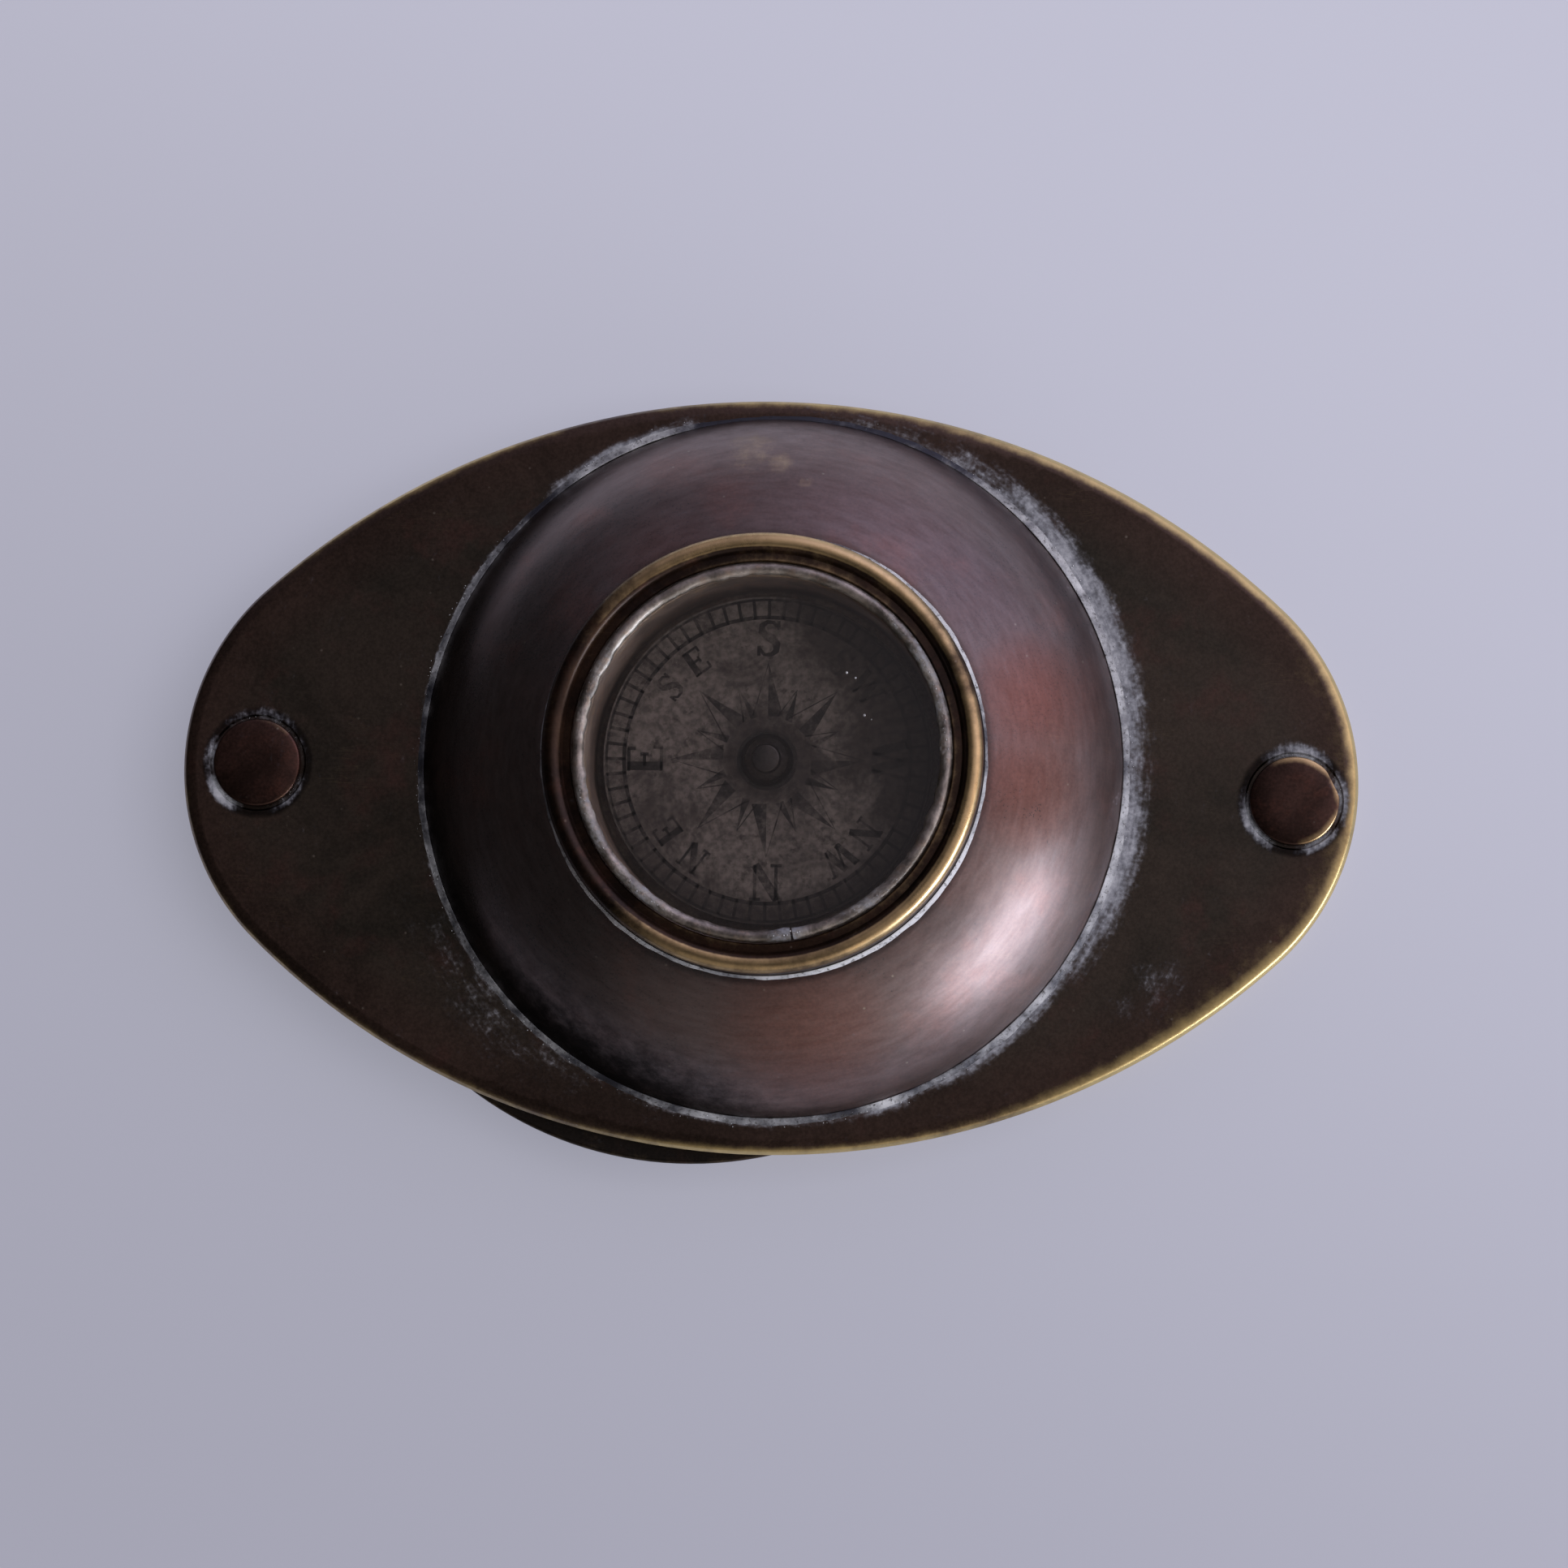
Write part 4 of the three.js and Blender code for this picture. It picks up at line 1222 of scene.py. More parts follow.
def lens_frame():
    low, high = bottom_of("lens_frame"), top_of("lens_frame")
    lip, bore = lens_radius - LENS_LIP, lens_radius + LENS_FIT
    seat = lens_middle - lens_half_thickness(lip) - LENS_FIT
    rim = LEAF_ROUND * SUPPORT + FLAT_START
    edge = [(rim, low, 0, 0.2), (0, low, LEAF_ROUND, 0.3), (0, high, LEAF_ROUND, 0.3), (rim, high, 0, 0.2)]
    lens_bore = [
        (lip + BORE_RIM, low, 0, 0.3), (lip, low, BORE_ROUND, 0.6), (lip, seat, 0.05, 0.3),
        (bore, seat, 0, 0), (bore, high, BORE_ROUND, 0.6), (bore + BORE_RIM, high, 0, 0.3),
    ]
    pivot_bore = [(turning_bore, low, 0, 0.5), (turning_bore, high, 0, 0.5)]
    holes = [(lens_centre, lens_bore), (pivot_centre, pivot_bore)]
    strength, reach = LEAF_WEAR
    points = [(x, y, strength * fade(inset, reach)) for inset in RIM_LINES for x, y in drop_outline(inset)]
    piece = sheet_piece("lens_frame_plate", drop_outline, edge, holes, leaf_bronze, points)
    keep(piece, "lens_leaf", "leaf_bronze", "lens_frame")


lens_frame()

# %% Ring that holds the lens
RING_SLOT = 1.2
RING_ROUND = 0.12
SLOT_WALL = 0.001  # half of the share of the slot's width that its walls take


def slotted(low, high, half):
    floor = (low + high) / 2

    def shaped(angle, across, height):
        from_slot = abs((angle - leaf_turn + math.pi / 2) % math.pi - math.pi / 2)
        if from_slot < half:
            height = min(height, floor)
        return across, height

    return shaped


def slot_angles(half):
    """Angles round the ring, with close pairs at the slots' walls."""
    angles = [leaf_turn + angle for angle in evenly_round(SIDES)]
    for side in (0, math.pi):
        for wall in (-half, half):
            angles += [leaf_turn + side + wall * share for share in (1 - SLOT_WALL, 1 + SLOT_WALL)]
    return sorted(angle % (2 * math.pi) for angle in angles)


def lens_ring():
    node = "lens_retaining_ring"
    low, high = bottom_of(node), top_of(node)
    inner, outer, half = lens_radius - LENS_LIP, radius_of(node), RING_SLOT / 2 / lens_radius
    corners = [
        (inner, low, 0, 0.3), (outer, low, 0, 0.3),
        (outer, high, RING_ROUND, 0.7), (inner, high, RING_ROUND, 0.7),
    ]
    form = {"angles": slot_angles(half), "shaped": slotted(low, high, half)}
    piece = turned(node + "_turned", corners, lens_centre, worn_brass, **form)
    keep(piece, "lens_leaf", "worn_brass", node)


lens_ring()

# %% [markdown]
# ## Glass
#
# The lens bends what lies behind it, and the compass glass is a flat window, so both are real glass with
# a little grease on the surface. Light from the lamps goes straight through, as it nearly does through
# clear glass, so the card and the table below the lens are lit.

# %% Glass and the lens
GLASS_IOR = 1.5
TINT_SCALE = 140
GREASE_SCALE = 320
GREASE_ROUGHNESS = (0.01, 0.07)  # clean, and where fingers have been
LENS_STEPS = 40  # from the axis to the edge


def glass(name, clear, tint):
    material, tree, shader = new_material(name)
    place = object_place(tree)
    shader.inputs["Transmission Weight"].default_value = 1
    shader.inputs["IOR"].default_value = GLASS_IOR
    tree.links.new(mixed(tree, cloud(tree, place, TINT_SCALE), clear, tint), shader.inputs["Base Color"])
    smears = cloud(tree, place, GREASE_SCALE, distortion=1.2)
    tree.links.new(smooth_step(tree, smears, 0.5, 0.75, *GREASE_ROUGHNESS), shader.inputs["Roughness"])
    through = add_node(tree, "ShaderNodeBsdfTransparent", {"Color": clear})
    shadow = add_node(tree, "ShaderNodeLightPath").outputs["Is Shadow Ray"]
    both = add_node(tree, "ShaderNodeMixShader", {0: shadow, 1: shader.outputs[0], 2: through.outputs[0]})
    tree.links.new(both.outputs[0], tree.nodes["Material Output"].inputs["Surface"])
    return material


def magnifier_lens():
    face = [lens_radius * step / LENS_STEPS for step in range(LENS_STEPS + 1)]
    upper = [(across, lens_middle + lens_half_thickness(across), 0) for across in face]
    lower = [(across, lens_middle - lens_half_thickness(across), 0) for across in reversed(face)]
    piece = spun("magnifier_lens_ground", upper + lower, lens_centre, lens_glass, closed=False)
    keep(piece, "lens_leaf", "lens_glass", "magnifier_lens")


lens_glass = glass("lens_glass", (0.97, 0.985, 0.98, 1), (0.93, 0.96, 0.95, 1))
window_glass = glass("window_glass", (0.95, 0.95, 0.94, 1), (0.88, 0.87, 0.85, 1))
magnifier_lens()

# %% [markdown]
# ## Dome
#
# The dome was spun over a former, which leaves fine rings that stretch every highlight. Its curve is one
# arc from foot to neck. A red bloom shows where the patina is thin, and a few scuffs at the back go through
# to brass.

# %% Dome
DOME_BULGE = math.radians(20)
DOME_WALL = 0.9
DOME_STEPS = 28
DOME_WEAR = 0.1
DOME_POLISH = 0.25  # share of the foot's dried polish that creeps up the dome
BOWL_BORE = radius_of("compass_glass") - 0.7
DOME_BORE = BOWL_BORE + 0.55
SCUFFS = ((-1.2, 20.0, 2.6, 0.5), (0.8, 19.2, 1.2, 0.58), (2.4, 17.8, 0.7, 0.6))  # x, y, size, strength
RUDDY = ((17.2, 4.6, 4.6, 0.85), (16.6, -1.0, 4.4, 0.8), (3, -16.5, 6, 0.6), (-6, 12, 4, 0.3))
dome_top = top_of("compass_dome")
dome_neck = radius_of("bezel_solder")


def dome_arc():
    """Centre and radius of the dome's curve in its profile, and the angles of its foot and neck."""
    run, rise = DOME_FOOT - dome_neck, dome_top - plate_top
    slope = math.atan2(run, rise)
    radius = math.hypot(run, rise) / (2 * math.sin(DOME_BULGE))
    start, end = slope - DOME_BULGE, slope + DOME_BULGE
    return (DOME_FOOT - radius * math.cos(start), plate_top - radius * math.sin(start)), radius, start, end


def dome_points():
    centre, radius, start, end = dome_arc()
    inner_radius, inner_top = radius - DOME_WALL, dome_top - DOME_WALL
    inner_start = math.asin((plate_top - centre[1]) / inner_radius)
    inner_end = math.asin((inner_top - centre[1]) / inner_radius)
    return [
        *profile_arc(centre, radius, start, end, DOME_STEPS, DOME_WEAR),
        (DOME_BORE, dome_top, 0), (DOME_BORE, inner_top, 0),
        *profile_arc(centre, inner_radius, inner_end, inner_start, DOME_STEPS, 0),
    ]


def foot_marks(patches):
    """How strong patches round the dome's foot are at a place on the dome."""
    return lambda place: patchy(place, compass_centre, patches, place.z - plate_top)


def dome():
    piece = spun("compass_dome_spun", dome_points(), compass_centre, dome_bronze)
    grime_and_shade, polish = foot_marks(FOOT_GRIME_AND_SHADE), foot_marks(FOOT_PATCHES)
    paint(piece, "wear", lambda place: spotted(place, SCUFFS))
    paint(piece, "ruddy", lambda place: spotted(place, RUDDY))
    # Dirt with painted shade on the lower part of the dome, round its foot.
    paint(piece, "grime_and_shade", grime_and_shade)
    paint(piece, "polish", lambda place: DOME_POLISH * polish(place))
    keep(piece, "case", "dome_bronze", "compass_dome")


dome()

# %% [markdown]
# ## Solder round the dome
#
# The dome was soldered to the plate all round its foot. The solder's reach and height follow the patches of
# dried polish, so it nearly vanishes on some sides and swells on others. Solder and dried polish are the
# same dull grey crust, whiter where more polish is in it.

# %% Crust
CRUST_GRAINS = 3200
CRUST_LUMPS = 700
CRUST_GREY = (0.05, 0.052, 0.065, 1)
CRUST_WHITE = (0.6, 0.61, 0.63, 1)
CRUST_PITS = (0.04, 0.036, 0.034, 1)
CRUST_RELIEF = (0.5, 0.00006)  # strength, and distance in metres


def crust(name):
    """Dull grey metal that turns white and floury where the pale attribute is high."""
    material, tree, shader = new_material(name)
    place = object_place(tree)
    grains = cloud(tree, place, CRUST_GRAINS, detail=5, roughness=0.75)
    lumps = cloud(tree, place, CRUST_LUMPS)
    pale = calculated(tree, "ADD", attribute(tree, "pale"), about_zero(tree, lumps))
    colour = mixed(tree, smooth_step(tree, pale, 0.2, 1.0), CRUST_GREY, CRUST_WHITE)
    colour = mixed(tree, smooth_step(tree, grains, 0.5, 0.3), colour, CRUST_PITS)
    strength, distance = CRUST_RELIEF
    relief = add_node(tree, "ShaderNodeBump", {"Height": grains, "Strength": strength, "Distance": distance})
    tree.links.new(colour, shader.inputs["Base Color"])
    tree.links.new(smooth_step(tree, pale, 0, 1, 0.45, 0.85), shader.inputs["Roughness"])
    tree.links.new(smooth_step(tree, pale, 0.1, 0.7, 0.8, 0), shader.inputs["Metallic"])
    tree.links.new(relief.outputs[0], shader.inputs["Normal"])
    return material


pale_solder = crust("pale_solder")
print(pale_solder.name, "has", len(pale_solder.node_tree.nodes), "nodes")

# %% Dome's solder
FOOT_SOLDER = (0.42, 0.35)  # width and height where it is fullest
SOLDER_HOLLOW = ((0.5, 0.25), (0.2, 0.55))  # shares of width and height along its hollow curve
SOLDER_GAP = 0.05
LEAST_SOLDER = 0.15  # share of the width and height that is left everywhere
FOOT_MIX = (0.3, 0.6, 0.2, 1.3, 3)  # shares that are even, from patches and from lumps, lumps' size and seed
FOOT_WOBBLE = (0.06, 0.4)  # share and size of the finest lumps
SOLDER_PALE = 0.65


def lump(angle, radius, size, seed):
    """A smooth random number from -1 to 1 that varies round a ring, over the given size."""
    step = radius / size
    return noise.noise(Vector((step * math.cos(angle), step * math.sin(angle), seed)))


def dome_radius_at(height):
    centre, radius = dome_arc()[:2]
    return centre[0] + math.sqrt(radius**2 - (height - centre[1])**2)


def solder_share(angle, patches, radius, mix):
    """Share of its full width and height that a ring of solder has in a direction."""
    ray = (math.cos(angle), math.sin(angle))
    even, patched, lumpy, size, seed = mix
    return even + patched * patchy(ray, (0, 0), patches) + lumpy * lump(angle, radius, size, seed)


def foot_solder_share(angle, seed):
    wobble, size = FOOT_WOBBLE
    share = solder_share(angle, FOOT_PATCHES, DOME_FOOT, FOOT_MIX)
    return max(LEAST_SOLDER, share + wobble * lump(angle, DOME_FOOT, size, seed))


def dome_solder():
    inner = DOME_FOOT + SOLDER_GAP
    width, height = FOOT_SOLDER
    top = plate_top + height
    corners = [
        (inner, plate_top, 0, 0), (inner + width, plate_top, 0, 0),
        *((inner + out * width, plate_top + up * height, 0, 0) for out, up in SOLDER_HOLLOW),
        (dome_radius_at(top) + SOLDER_GAP, top, 0.05, 0),
    ]

    def shaped(angle, across, up):
        share = foot_solder_share(angle, across + up)
        out = inner + max(across - inner, 0) * share + min(across - inner, 0)
        return out, plate_top + (up - plate_top) * share

    form = {"angles": evenly_round(FOOT_POINTS), "shaped": shaped}
    piece = turned("dome_solder_fillet", corners, compass_centre, pale_solder, **form)
    paint(piece, "pale", lambda place: SOLDER_PALE * patchy(place, compass_centre, FOOT_PATCHES))
    keep(piece, "case", "pale_solder", "dome_solder")


dome_solder()

# %% [markdown]
# ## Bezel
#
# The bezel is a turned ring with a fat bead, a dirty groove inside it and a small lip that the glass's
# wire sits under. Hands have rubbed the bead to bare brass behind, on the right and in front, while the
# left keeps its brown. A thin uneven line of solder holds it to the dome.

# %% Bezel
BEAD = 0.62
BEAD_INSET = 0.04
LIP_DROP = 0.45  # from the bezel's top to the lip inside the groove
FLANGE_FIT = 0.05
BEZEL_BORE = radius_of("compass_glass") + 0.05
BEAD_WEAR = (  # degrees round the bead's section from and to, steps and wear
    (0, 40, 4, 0.8), (50, 110, 6, 1), (122, 160, 4, 0.3),
)
bezel_radius, bezel_top = radius_of("compass_bezel"), top_of("compass_bezel")
flange_radius, flange_top = radius_of("compass_bowl"), top_of("compass_bowl")


def bead_points(centre):
    points = []
    for start, end, steps, wear in BEAD_WEAR:
        points += profile_arc(centre, BEAD, math.radians(start), math.radians(end), steps, wear)
    return points


def bezel():
    low, lip, skirt = bottom_of("compass_bezel"), bezel_top - LIP_DROP, flange_radius + FLANGE_FIT
    bead_centre = (bezel_radius - BEAD - BEAD_INSET, bezel_top - BEAD)
    points = [
        (BEZEL_BORE, flange_top, 0), (skirt, flange_top, 0), (skirt, low, 0), (bezel_radius, low, 0.3),
        (bezel_radius, low + 0.4, 0.3), (bezel_radius - BEAD_INSET, bead_centre[1] - 0.5, 0.3),
        *bead_points(bead_centre),
        (bead_centre[0] - BEAD - 0.05, lip - 0.05, 0.3), (BEZEL_BORE + 0.25, lip - 0.02, 0.35),
        (BEZEL_BORE + 0.08, lip, 0.5), (BEZEL_BORE, lip - 0.08, 0.4),
    ]
    piece = spun("compass_bezel_turned", points, compass_centre, bezel_brass)
    rub(piece, lambda place: patchy(place, compass_centre, BEZEL_RUBS))
    keep(piece, "case", "bezel_brass", "compass_bezel")


bezel()

# %% Bezel's solder
LINE_SOLDER = (0.3, 0.25)  # width and height where it is fullest
LINE_MIX = (0.45, 0.5, 0.2, 0.9, 8)
LINE_PALE = 0.25  # how pale it is where no polish has dried


def line_pale(place):
    return LINE_PALE + (1 - LINE_PALE) * patchy(place, compass_centre, BEZEL_PATCHES)


def bezel_solder():
    inner = bezel_radius + SOLDER_GAP
    width, height = LINE_SOLDER
    corners = [
        (inner, dome_top, 0, 0), (inner + width, dome_top, 0, 0),
        (inner + 0.4 * width, dome_top + 0.75 * height, 0.05, 0), (inner, dome_top + height, 0.03, 0),
    ]

    def shaped(angle, across, up):
        share = solder_share(angle, BEZEL_PATCHES, bezel_radius, LINE_MIX)
        return inner + (across - inner) * share, dome_top + (up - dome_top) * share

    piece = turned("bezel_solder_line", corners, compass_centre, pale_solder, shaped=shaped)
    paint(piece, "pale", line_pale)
    keep(piece, "case", "pale_solder", "bezel_solder")


bezel_solder()

# %% [markdown]
# ## What repeats, and what follows a path
#
# Divisions and rose points repeat round the dial, crumbs of polish lie along the seams, and the glass is
# held by a wire bent to a circle. Geometry Nodes make these: one tree for each kind, with named inputs,
# and the result is kept as a plain mesh.


# %% Geometry Nodes helpers
def new_geometry_tree(name, inputs):
    tree = bpy.data.node_groups.new(name, "GeometryNodeTree")
    for label, kind in (("Geometry", "Geometry"), *inputs, ("Material", "Material")):
        tree.interface.new_socket(label, in_out="INPUT", socket_type="NodeSocket" + kind)
    tree.interface.new_socket("Geometry", in_out="OUTPUT", socket_type="NodeSocketGeometry")
    return tree, tree.nodes.new("NodeGroupInput").outputs, tree.nodes.new("NodeGroupOutput").inputs


def finish_tree(tree, geometry, given, result):
    plain = add_node(tree, "GeometryNodeRealizeInstances", {"Geometry": geometry}).outputs[0]
    painted = add_node(tree, "GeometryNodeSetMaterial", {"Geometry": plain, "Material": given["Material"]})
    tree.links.new(painted.outputs[0], result["Geometry"])
    return tree


def grown(name, tree, values, mesh=None):
    """The plain mesh that a tree makes from a mesh with the given values."""
    maker = placed(name, mesh or bpy.data.meshes.new(name))
    modifier = maker.modifiers.new(name, "NODES")
    modifier.node_group = tree
    for item in tree.interface.items_tree:
        if item.in_out == "INPUT" and item.name in values:
            modifier[item.identifier] = values[item.name]
    depsgraph = bpy.context.evaluated_depsgraph_get()
    made = bpy.data.meshes.new_from_object(maker.evaluated_get(depsgraph))
    bpy.data.objects.remove(maker)
    made.name = name
    return placed(name, made)


def rotation(tree, turn):
    return add_node(tree, "FunctionNodeEulerToRotation", {0: turn}).outputs[0]


print("shader groups so far:", len(bpy.data.node_groups))


# %% Copies round a centre
def repeat_tree():
    """Turns copies of the geometry round a centre."""
    inputs = [("Count", "Int"), ("Centre", "Vector"), ("Turn", "Float")]
    tree, given, result = new_geometry_tree("repeat_round", inputs)
    points = add_node(tree, "GeometryNodePoints", {"Count": given["Count"], "Position": given["Centre"]})
    share = calculated(tree, "DIVIDE", add_node(tree, "GeometryNodeInputIndex").outputs[0], given["Count"])
    angle = calculated(tree, "MULTIPLY_ADD", share, 2 * math.pi, given["Turn"])
    turn = rotation(tree, add_node(tree, "ShaderNodeCombineXYZ", {"Z": angle}).outputs[0])
    sockets = {"Points": points.outputs[0], "Instance": given["Geometry"], "Rotation": turn}
    copies = add_node(tree, "GeometryNodeInstanceOnPoints", sockets).outputs[0]
    return finish_tree(tree, copies, given, result)


REPEAT = repeat_tree()
print(REPEAT.name, "has", len(REPEAT.nodes), "nodes")

# %% A bent wire
WIRE_PATH_POINTS = 192
WIRE_SECTION_POINTS = 14


def wire_tree():
    """A round wire along part of a circle."""
    floats = [(label, "Float") for label in ("Radius", "Wire", "Start", "Sweep")]
    tree, given, result = new_geometry_tree("bent_wire", [("Centre", "Vector"), *floats])
    sockets = {
        "Resolution": WIRE_PATH_POINTS, "Radius": given["Radius"], "Start Angle": given["Start"],
        "Sweep Angle": given["Sweep"],
    }
    path = add_node(tree, "GeometryNodeCurveArc", sockets).outputs[0]
    sockets = {"Resolution": WIRE_SECTION_POINTS, "Radius": given["Wire"]}
    section = add_node(tree, "GeometryNodeCurvePrimitiveCircle", sockets).outputs[0]
    sockets = {"Curve": path, "Profile Curve": section, "Fill Caps": True}
    wire = add_node(tree, "GeometryNodeCurveToMesh", sockets).outputs[0]
    sockets = {"Geometry": wire, "Translation": given["Centre"]}
    wire = add_node(tree, "GeometryNodeTransform", sockets).outputs[0]
    wire = add_node(tree, "GeometryNodeSetShadeSmooth", {"Geometry": wire}).outputs[0]
    return finish_tree(tree, wire, given, result)


WIRE = wire_tree()
print(WIRE.name, "has", len(WIRE.nodes), "nodes")

# %% Crumbs
LEAST_CRUMB = 0.3  # share of the largest crumb's size
ANY_TURN = (6, 6, 6)  # radians


def random_number(tree, low, high, seed):
    chance = add_node(tree, "FunctionNodeRandomValue", data_type="FLOAT")
    for key, value in (("Min", low), ("Max", high), ("Seed", seed)):
        socket = next(socket for socket in chance.inputs if socket.name == key and socket.enabled)
        if isinstance(value, bpy.types.NodeSocket):
            tree.links.new(value, socket)
        else:
            socket.default_value = value
    return next(socket for socket in chance.outputs if socket.enabled)


def random_vector(tree, sockets):
    return add_node(tree, "FunctionNodeRandomValue", sockets, data_type="FLOAT_VECTOR").outputs[0]


def scattered(tree, given):
    """The geometry's points, each moved a random way within the spread."""
    points = add_node(tree, "GeometryNodeMeshToPoints", {"Mesh": given["Geometry"]}).outputs[0]
    least = vector_math(tree, "MULTIPLY", given["Spread"], (-1, -1, 0)).outputs[0]
    shift = random_vector(tree, {"Min": least, "Max": given["Spread"], "Seed": given["Seed"]})
    return add_node(tree, "GeometryNodeSetPosition", {"Geometry": points, "Offset": shift}).outputs[0]


def crumb_tree():
    """Small grains at the geometry's points, more and larger ones where its amount attribute is high."""
    inputs = [("Size", "Float"), ("Spread", "Vector"), ("Seed", "Int")]
    tree, given, result = new_geometry_tree("crumbs", inputs)
    named = add_node(tree, "GeometryNodeInputNamedAttribute", {"Name": "amount"}, data_type="FLOAT")
    amount = named.outputs[0]
    chance = random_number(tree, 0, 1, given["Seed"])
    size = random_number(tree, LEAST_CRUMB, 1, calculated(tree, "ADD", given["Seed"], 1))
    size = calculated(tree, "MULTIPLY", calculated(tree, "MULTIPLY", size, given["Size"]), amount)
    grain = add_node(tree, "GeometryNodeMeshIcoSphere", {"Radius": 1, "Subdivisions": 1}).outputs[0]
    sockets = {
        "Points": scattered(tree, given), "Instance": grain, "Scale": size,
        "Rotation": rotation(tree, random_vector(tree, {"Max": ANY_TURN})),
        "Selection": calculated(tree, "LESS_THAN", chance, amount),
    }
    copies = add_node(tree, "GeometryNodeInstanceOnPoints", sockets).outputs[0]
    return finish_tree(tree, copies, given, result)


CRUMBS = crumb_tree()
print(CRUMBS.name, "has", len(CRUMBS.nodes), "nodes")

# %% [markdown]
# ## Wire round the glass, and crumbs
#
# A wire sprung into the bezel holds the glass. Its ends nearly meet at the front, and its inner side is
# uneven where it was pressed and soldered. Crumbs of dried polish lie along the seams and on the wire, and
# a few flecks of dust lie on the glass. On the wire's right side the white polish and crumbs are also
# painted glints.

# %% Wire round the glass
WIRE_RADIUS = 0.36
WIRE_FIT = 0.05
WIRE_LIFT = 0.01  # air between the wire and the glass
WIRE_GAP = 0.14
WIRE_GAP_ANGLE = math.radians(-79)
WIRE_SWELL = 0.24  # how far the wire bulges inwards at most
SWELL_SIZE = 0.9  # bulges in a millimetre
SWELL_SEED = 5
WIRE_POLISH_AND_GLINT_SHARE = 0.6
glass_top = top_of("compass_glass")


def swell(piece, path):
    """Lets the inner side of the wire wander."""
    for vert in piece.data.vertices:
        spoke = vert.co.to_2d() / MM - compass_centre
        inward = max(0.0, path - spoke.length) / WIRE_RADIUS
        bulge = WIRE_SWELL * inward * abs(noise.noise(Vector((*(spoke * SWELL_SIZE), SWELL_SEED))))
        vert.co -= (spoke.normalized() * bulge * MM).to_3d()


def glass_wire():
    path = BEZEL_BORE - WIRE_FIT - WIRE_RADIUS
    height = glass_top + WIRE_RADIUS + WIRE_LIFT
    cut = WIRE_GAP / path
    values = {
        "Centre": (compass_centre.x * MM, compass_centre.y * MM, height * MM), "Radius": path * MM,
        "Wire": WIRE_RADIUS * MM, "Start": WIRE_GAP_ANGLE + cut / 2, "Sweep": 2 * math.pi - cut,
        "Material": ring_wire,
    }
    piece = grown("glass_retaining_ring_wire", WIRE, values)
    swell(piece, path)
    # White polish on the wire, which on its right side is also a painted glint.
    paint(piece, "polish", lambda place: WIRE_POLISH_AND_GLINT_SHARE * patchy(place, compass_centre, WIRE_POLISH_AND_GLINTS))
    keep(piece, "case", "ring_wire", "glass_retaining_ring")


glass_wire()

# %% Crumbs of polish
CRUMB_AMOUNT = 0.55
CRUMB_PALE = 0.8
FLECKS = ((44, 5, 1.0, 1), (23, 5, 1.0, 1))  # where dust lies on the glass, listed like the patches
GROOVE_CRUMBS = {  # what both rivets' grooves have alike
    "radius": GROOVE_RADIUS - 0.25, "height": plate_top - 0.12, "count": 240, "size": 0.09,
    "spread": (0.15, 0.15, 0.05),
}


def crumbs(name, centre, radius, height, patches, count, size, spread, seed):
    mesh = bpy.data.meshes.new(name)
    places = [Vector((*spot, height)) for spot in circle(centre, radius, count)]
    mesh.from_pydata([place * MM for place in places], [], [])
    amount = mesh.attributes.new("amount", "FLOAT", "POINT")
    amount.data.foreach_set("value", [CRUMB_AMOUNT * patchy(place, centre, patches) for place in places])
    values = {"Size": size * MM, "Spread": Vector(spread) * MM, "Seed": seed, "Material": pale_solder}
    piece = grown(name, CRUMBS, values, mesh)
    paint(piece, "pale", lambda place: CRUMB_PALE)
    keep(piece, "case", "pale_solder")


crumbs(
    "foot_crumbs", compass_centre, radius=DOME_FOOT + 0.35, height=plate_top + 0.05, patches=FOOT_PATCHES,
    count=900, size=0.1, spread=(0.3, 0.3, 0.12), seed=4,
)
crumbs("pivot_crumbs", pivot_centre, patches=PIVOT_PATCHES, seed=5, **GROOVE_CRUMBS)
crumbs("far_crumbs", far_centre, patches=FAR_PATCHES, seed=6, **GROOVE_CRUMBS)
# White crumbs on the wire, which on its right side are also painted glints.
crumbs(
    "wire_crumbs_and_glints", compass_centre, radius=BEZEL_BORE - 0.45, height=glass_top + 2 * WIRE_RADIUS,
    patches=WIRE_POLISH_AND_GLINTS, count=420, size=0.1, spread=(0.14, 0.14, 0.05), seed=7,
)
crumbs(
    "glass_flecks", compass_centre, radius=6.9, height=glass_top + 0.04, patches=FLECKS, count=300,
    size=0.24, spread=(0.4, 0.4, 0.02), seed=9,
)

# %% [markdown]
# ## Compass
#
# A brown bowl holds a steel pin, and the card hangs on the pin by a brass cap with a hollow in it. The
# magnet under the card keeps north. Only the card, the cap and a strip of the bowl's wall are seen.

# %% Bowl, pin and glass
BOWL_WALL = 0.5
BOWL_ROUND = 0.4
PIN_RADIUS = 0.35
PIN_POINT = 0.8
PIN_HOLE = 0.4
PANE_ROUND = 0.1


def bowl():
    low, outer, floor = bottom_of("compass_bowl"), BOWL_BORE + BOWL_WALL, bottom_of("pivot_pin")
    corners = [
        (0, low, 0, 0), (outer, low, 0.3, 0), (outer, dome_top, 0, 0), (flange_radius, dome_top, 0, 0),
        (flange_radius, flange_top, 0, 0), (BOWL_BORE, flange_top, 0.1, 0.4),
        (BOWL_BORE, floor, BOWL_ROUND, 0.1), (0, floor, 0, 0),
    ]
    piece = turned("compass_bowl_pressed", corners, compass_centre, bowl_bronze, False)
    keep(piece, "case", "bowl_bronze", "compass_bowl")


def pin():
    low, high = bottom_of("pivot_pin"), top_of("pivot_pin")
    corners = [
        (0, low, 0, 0), (PIN_RADIUS, low, 0, 0), (PIN_RADIUS, high - PIN_POINT, 0.1, 0.3), (0, high, 0, 0.6),
    ]
    piece = turned("pivot_pin_turned", corners, compass_centre, pin_steel, False)
    keep(piece, "case", "pin_steel", "pivot_pin")


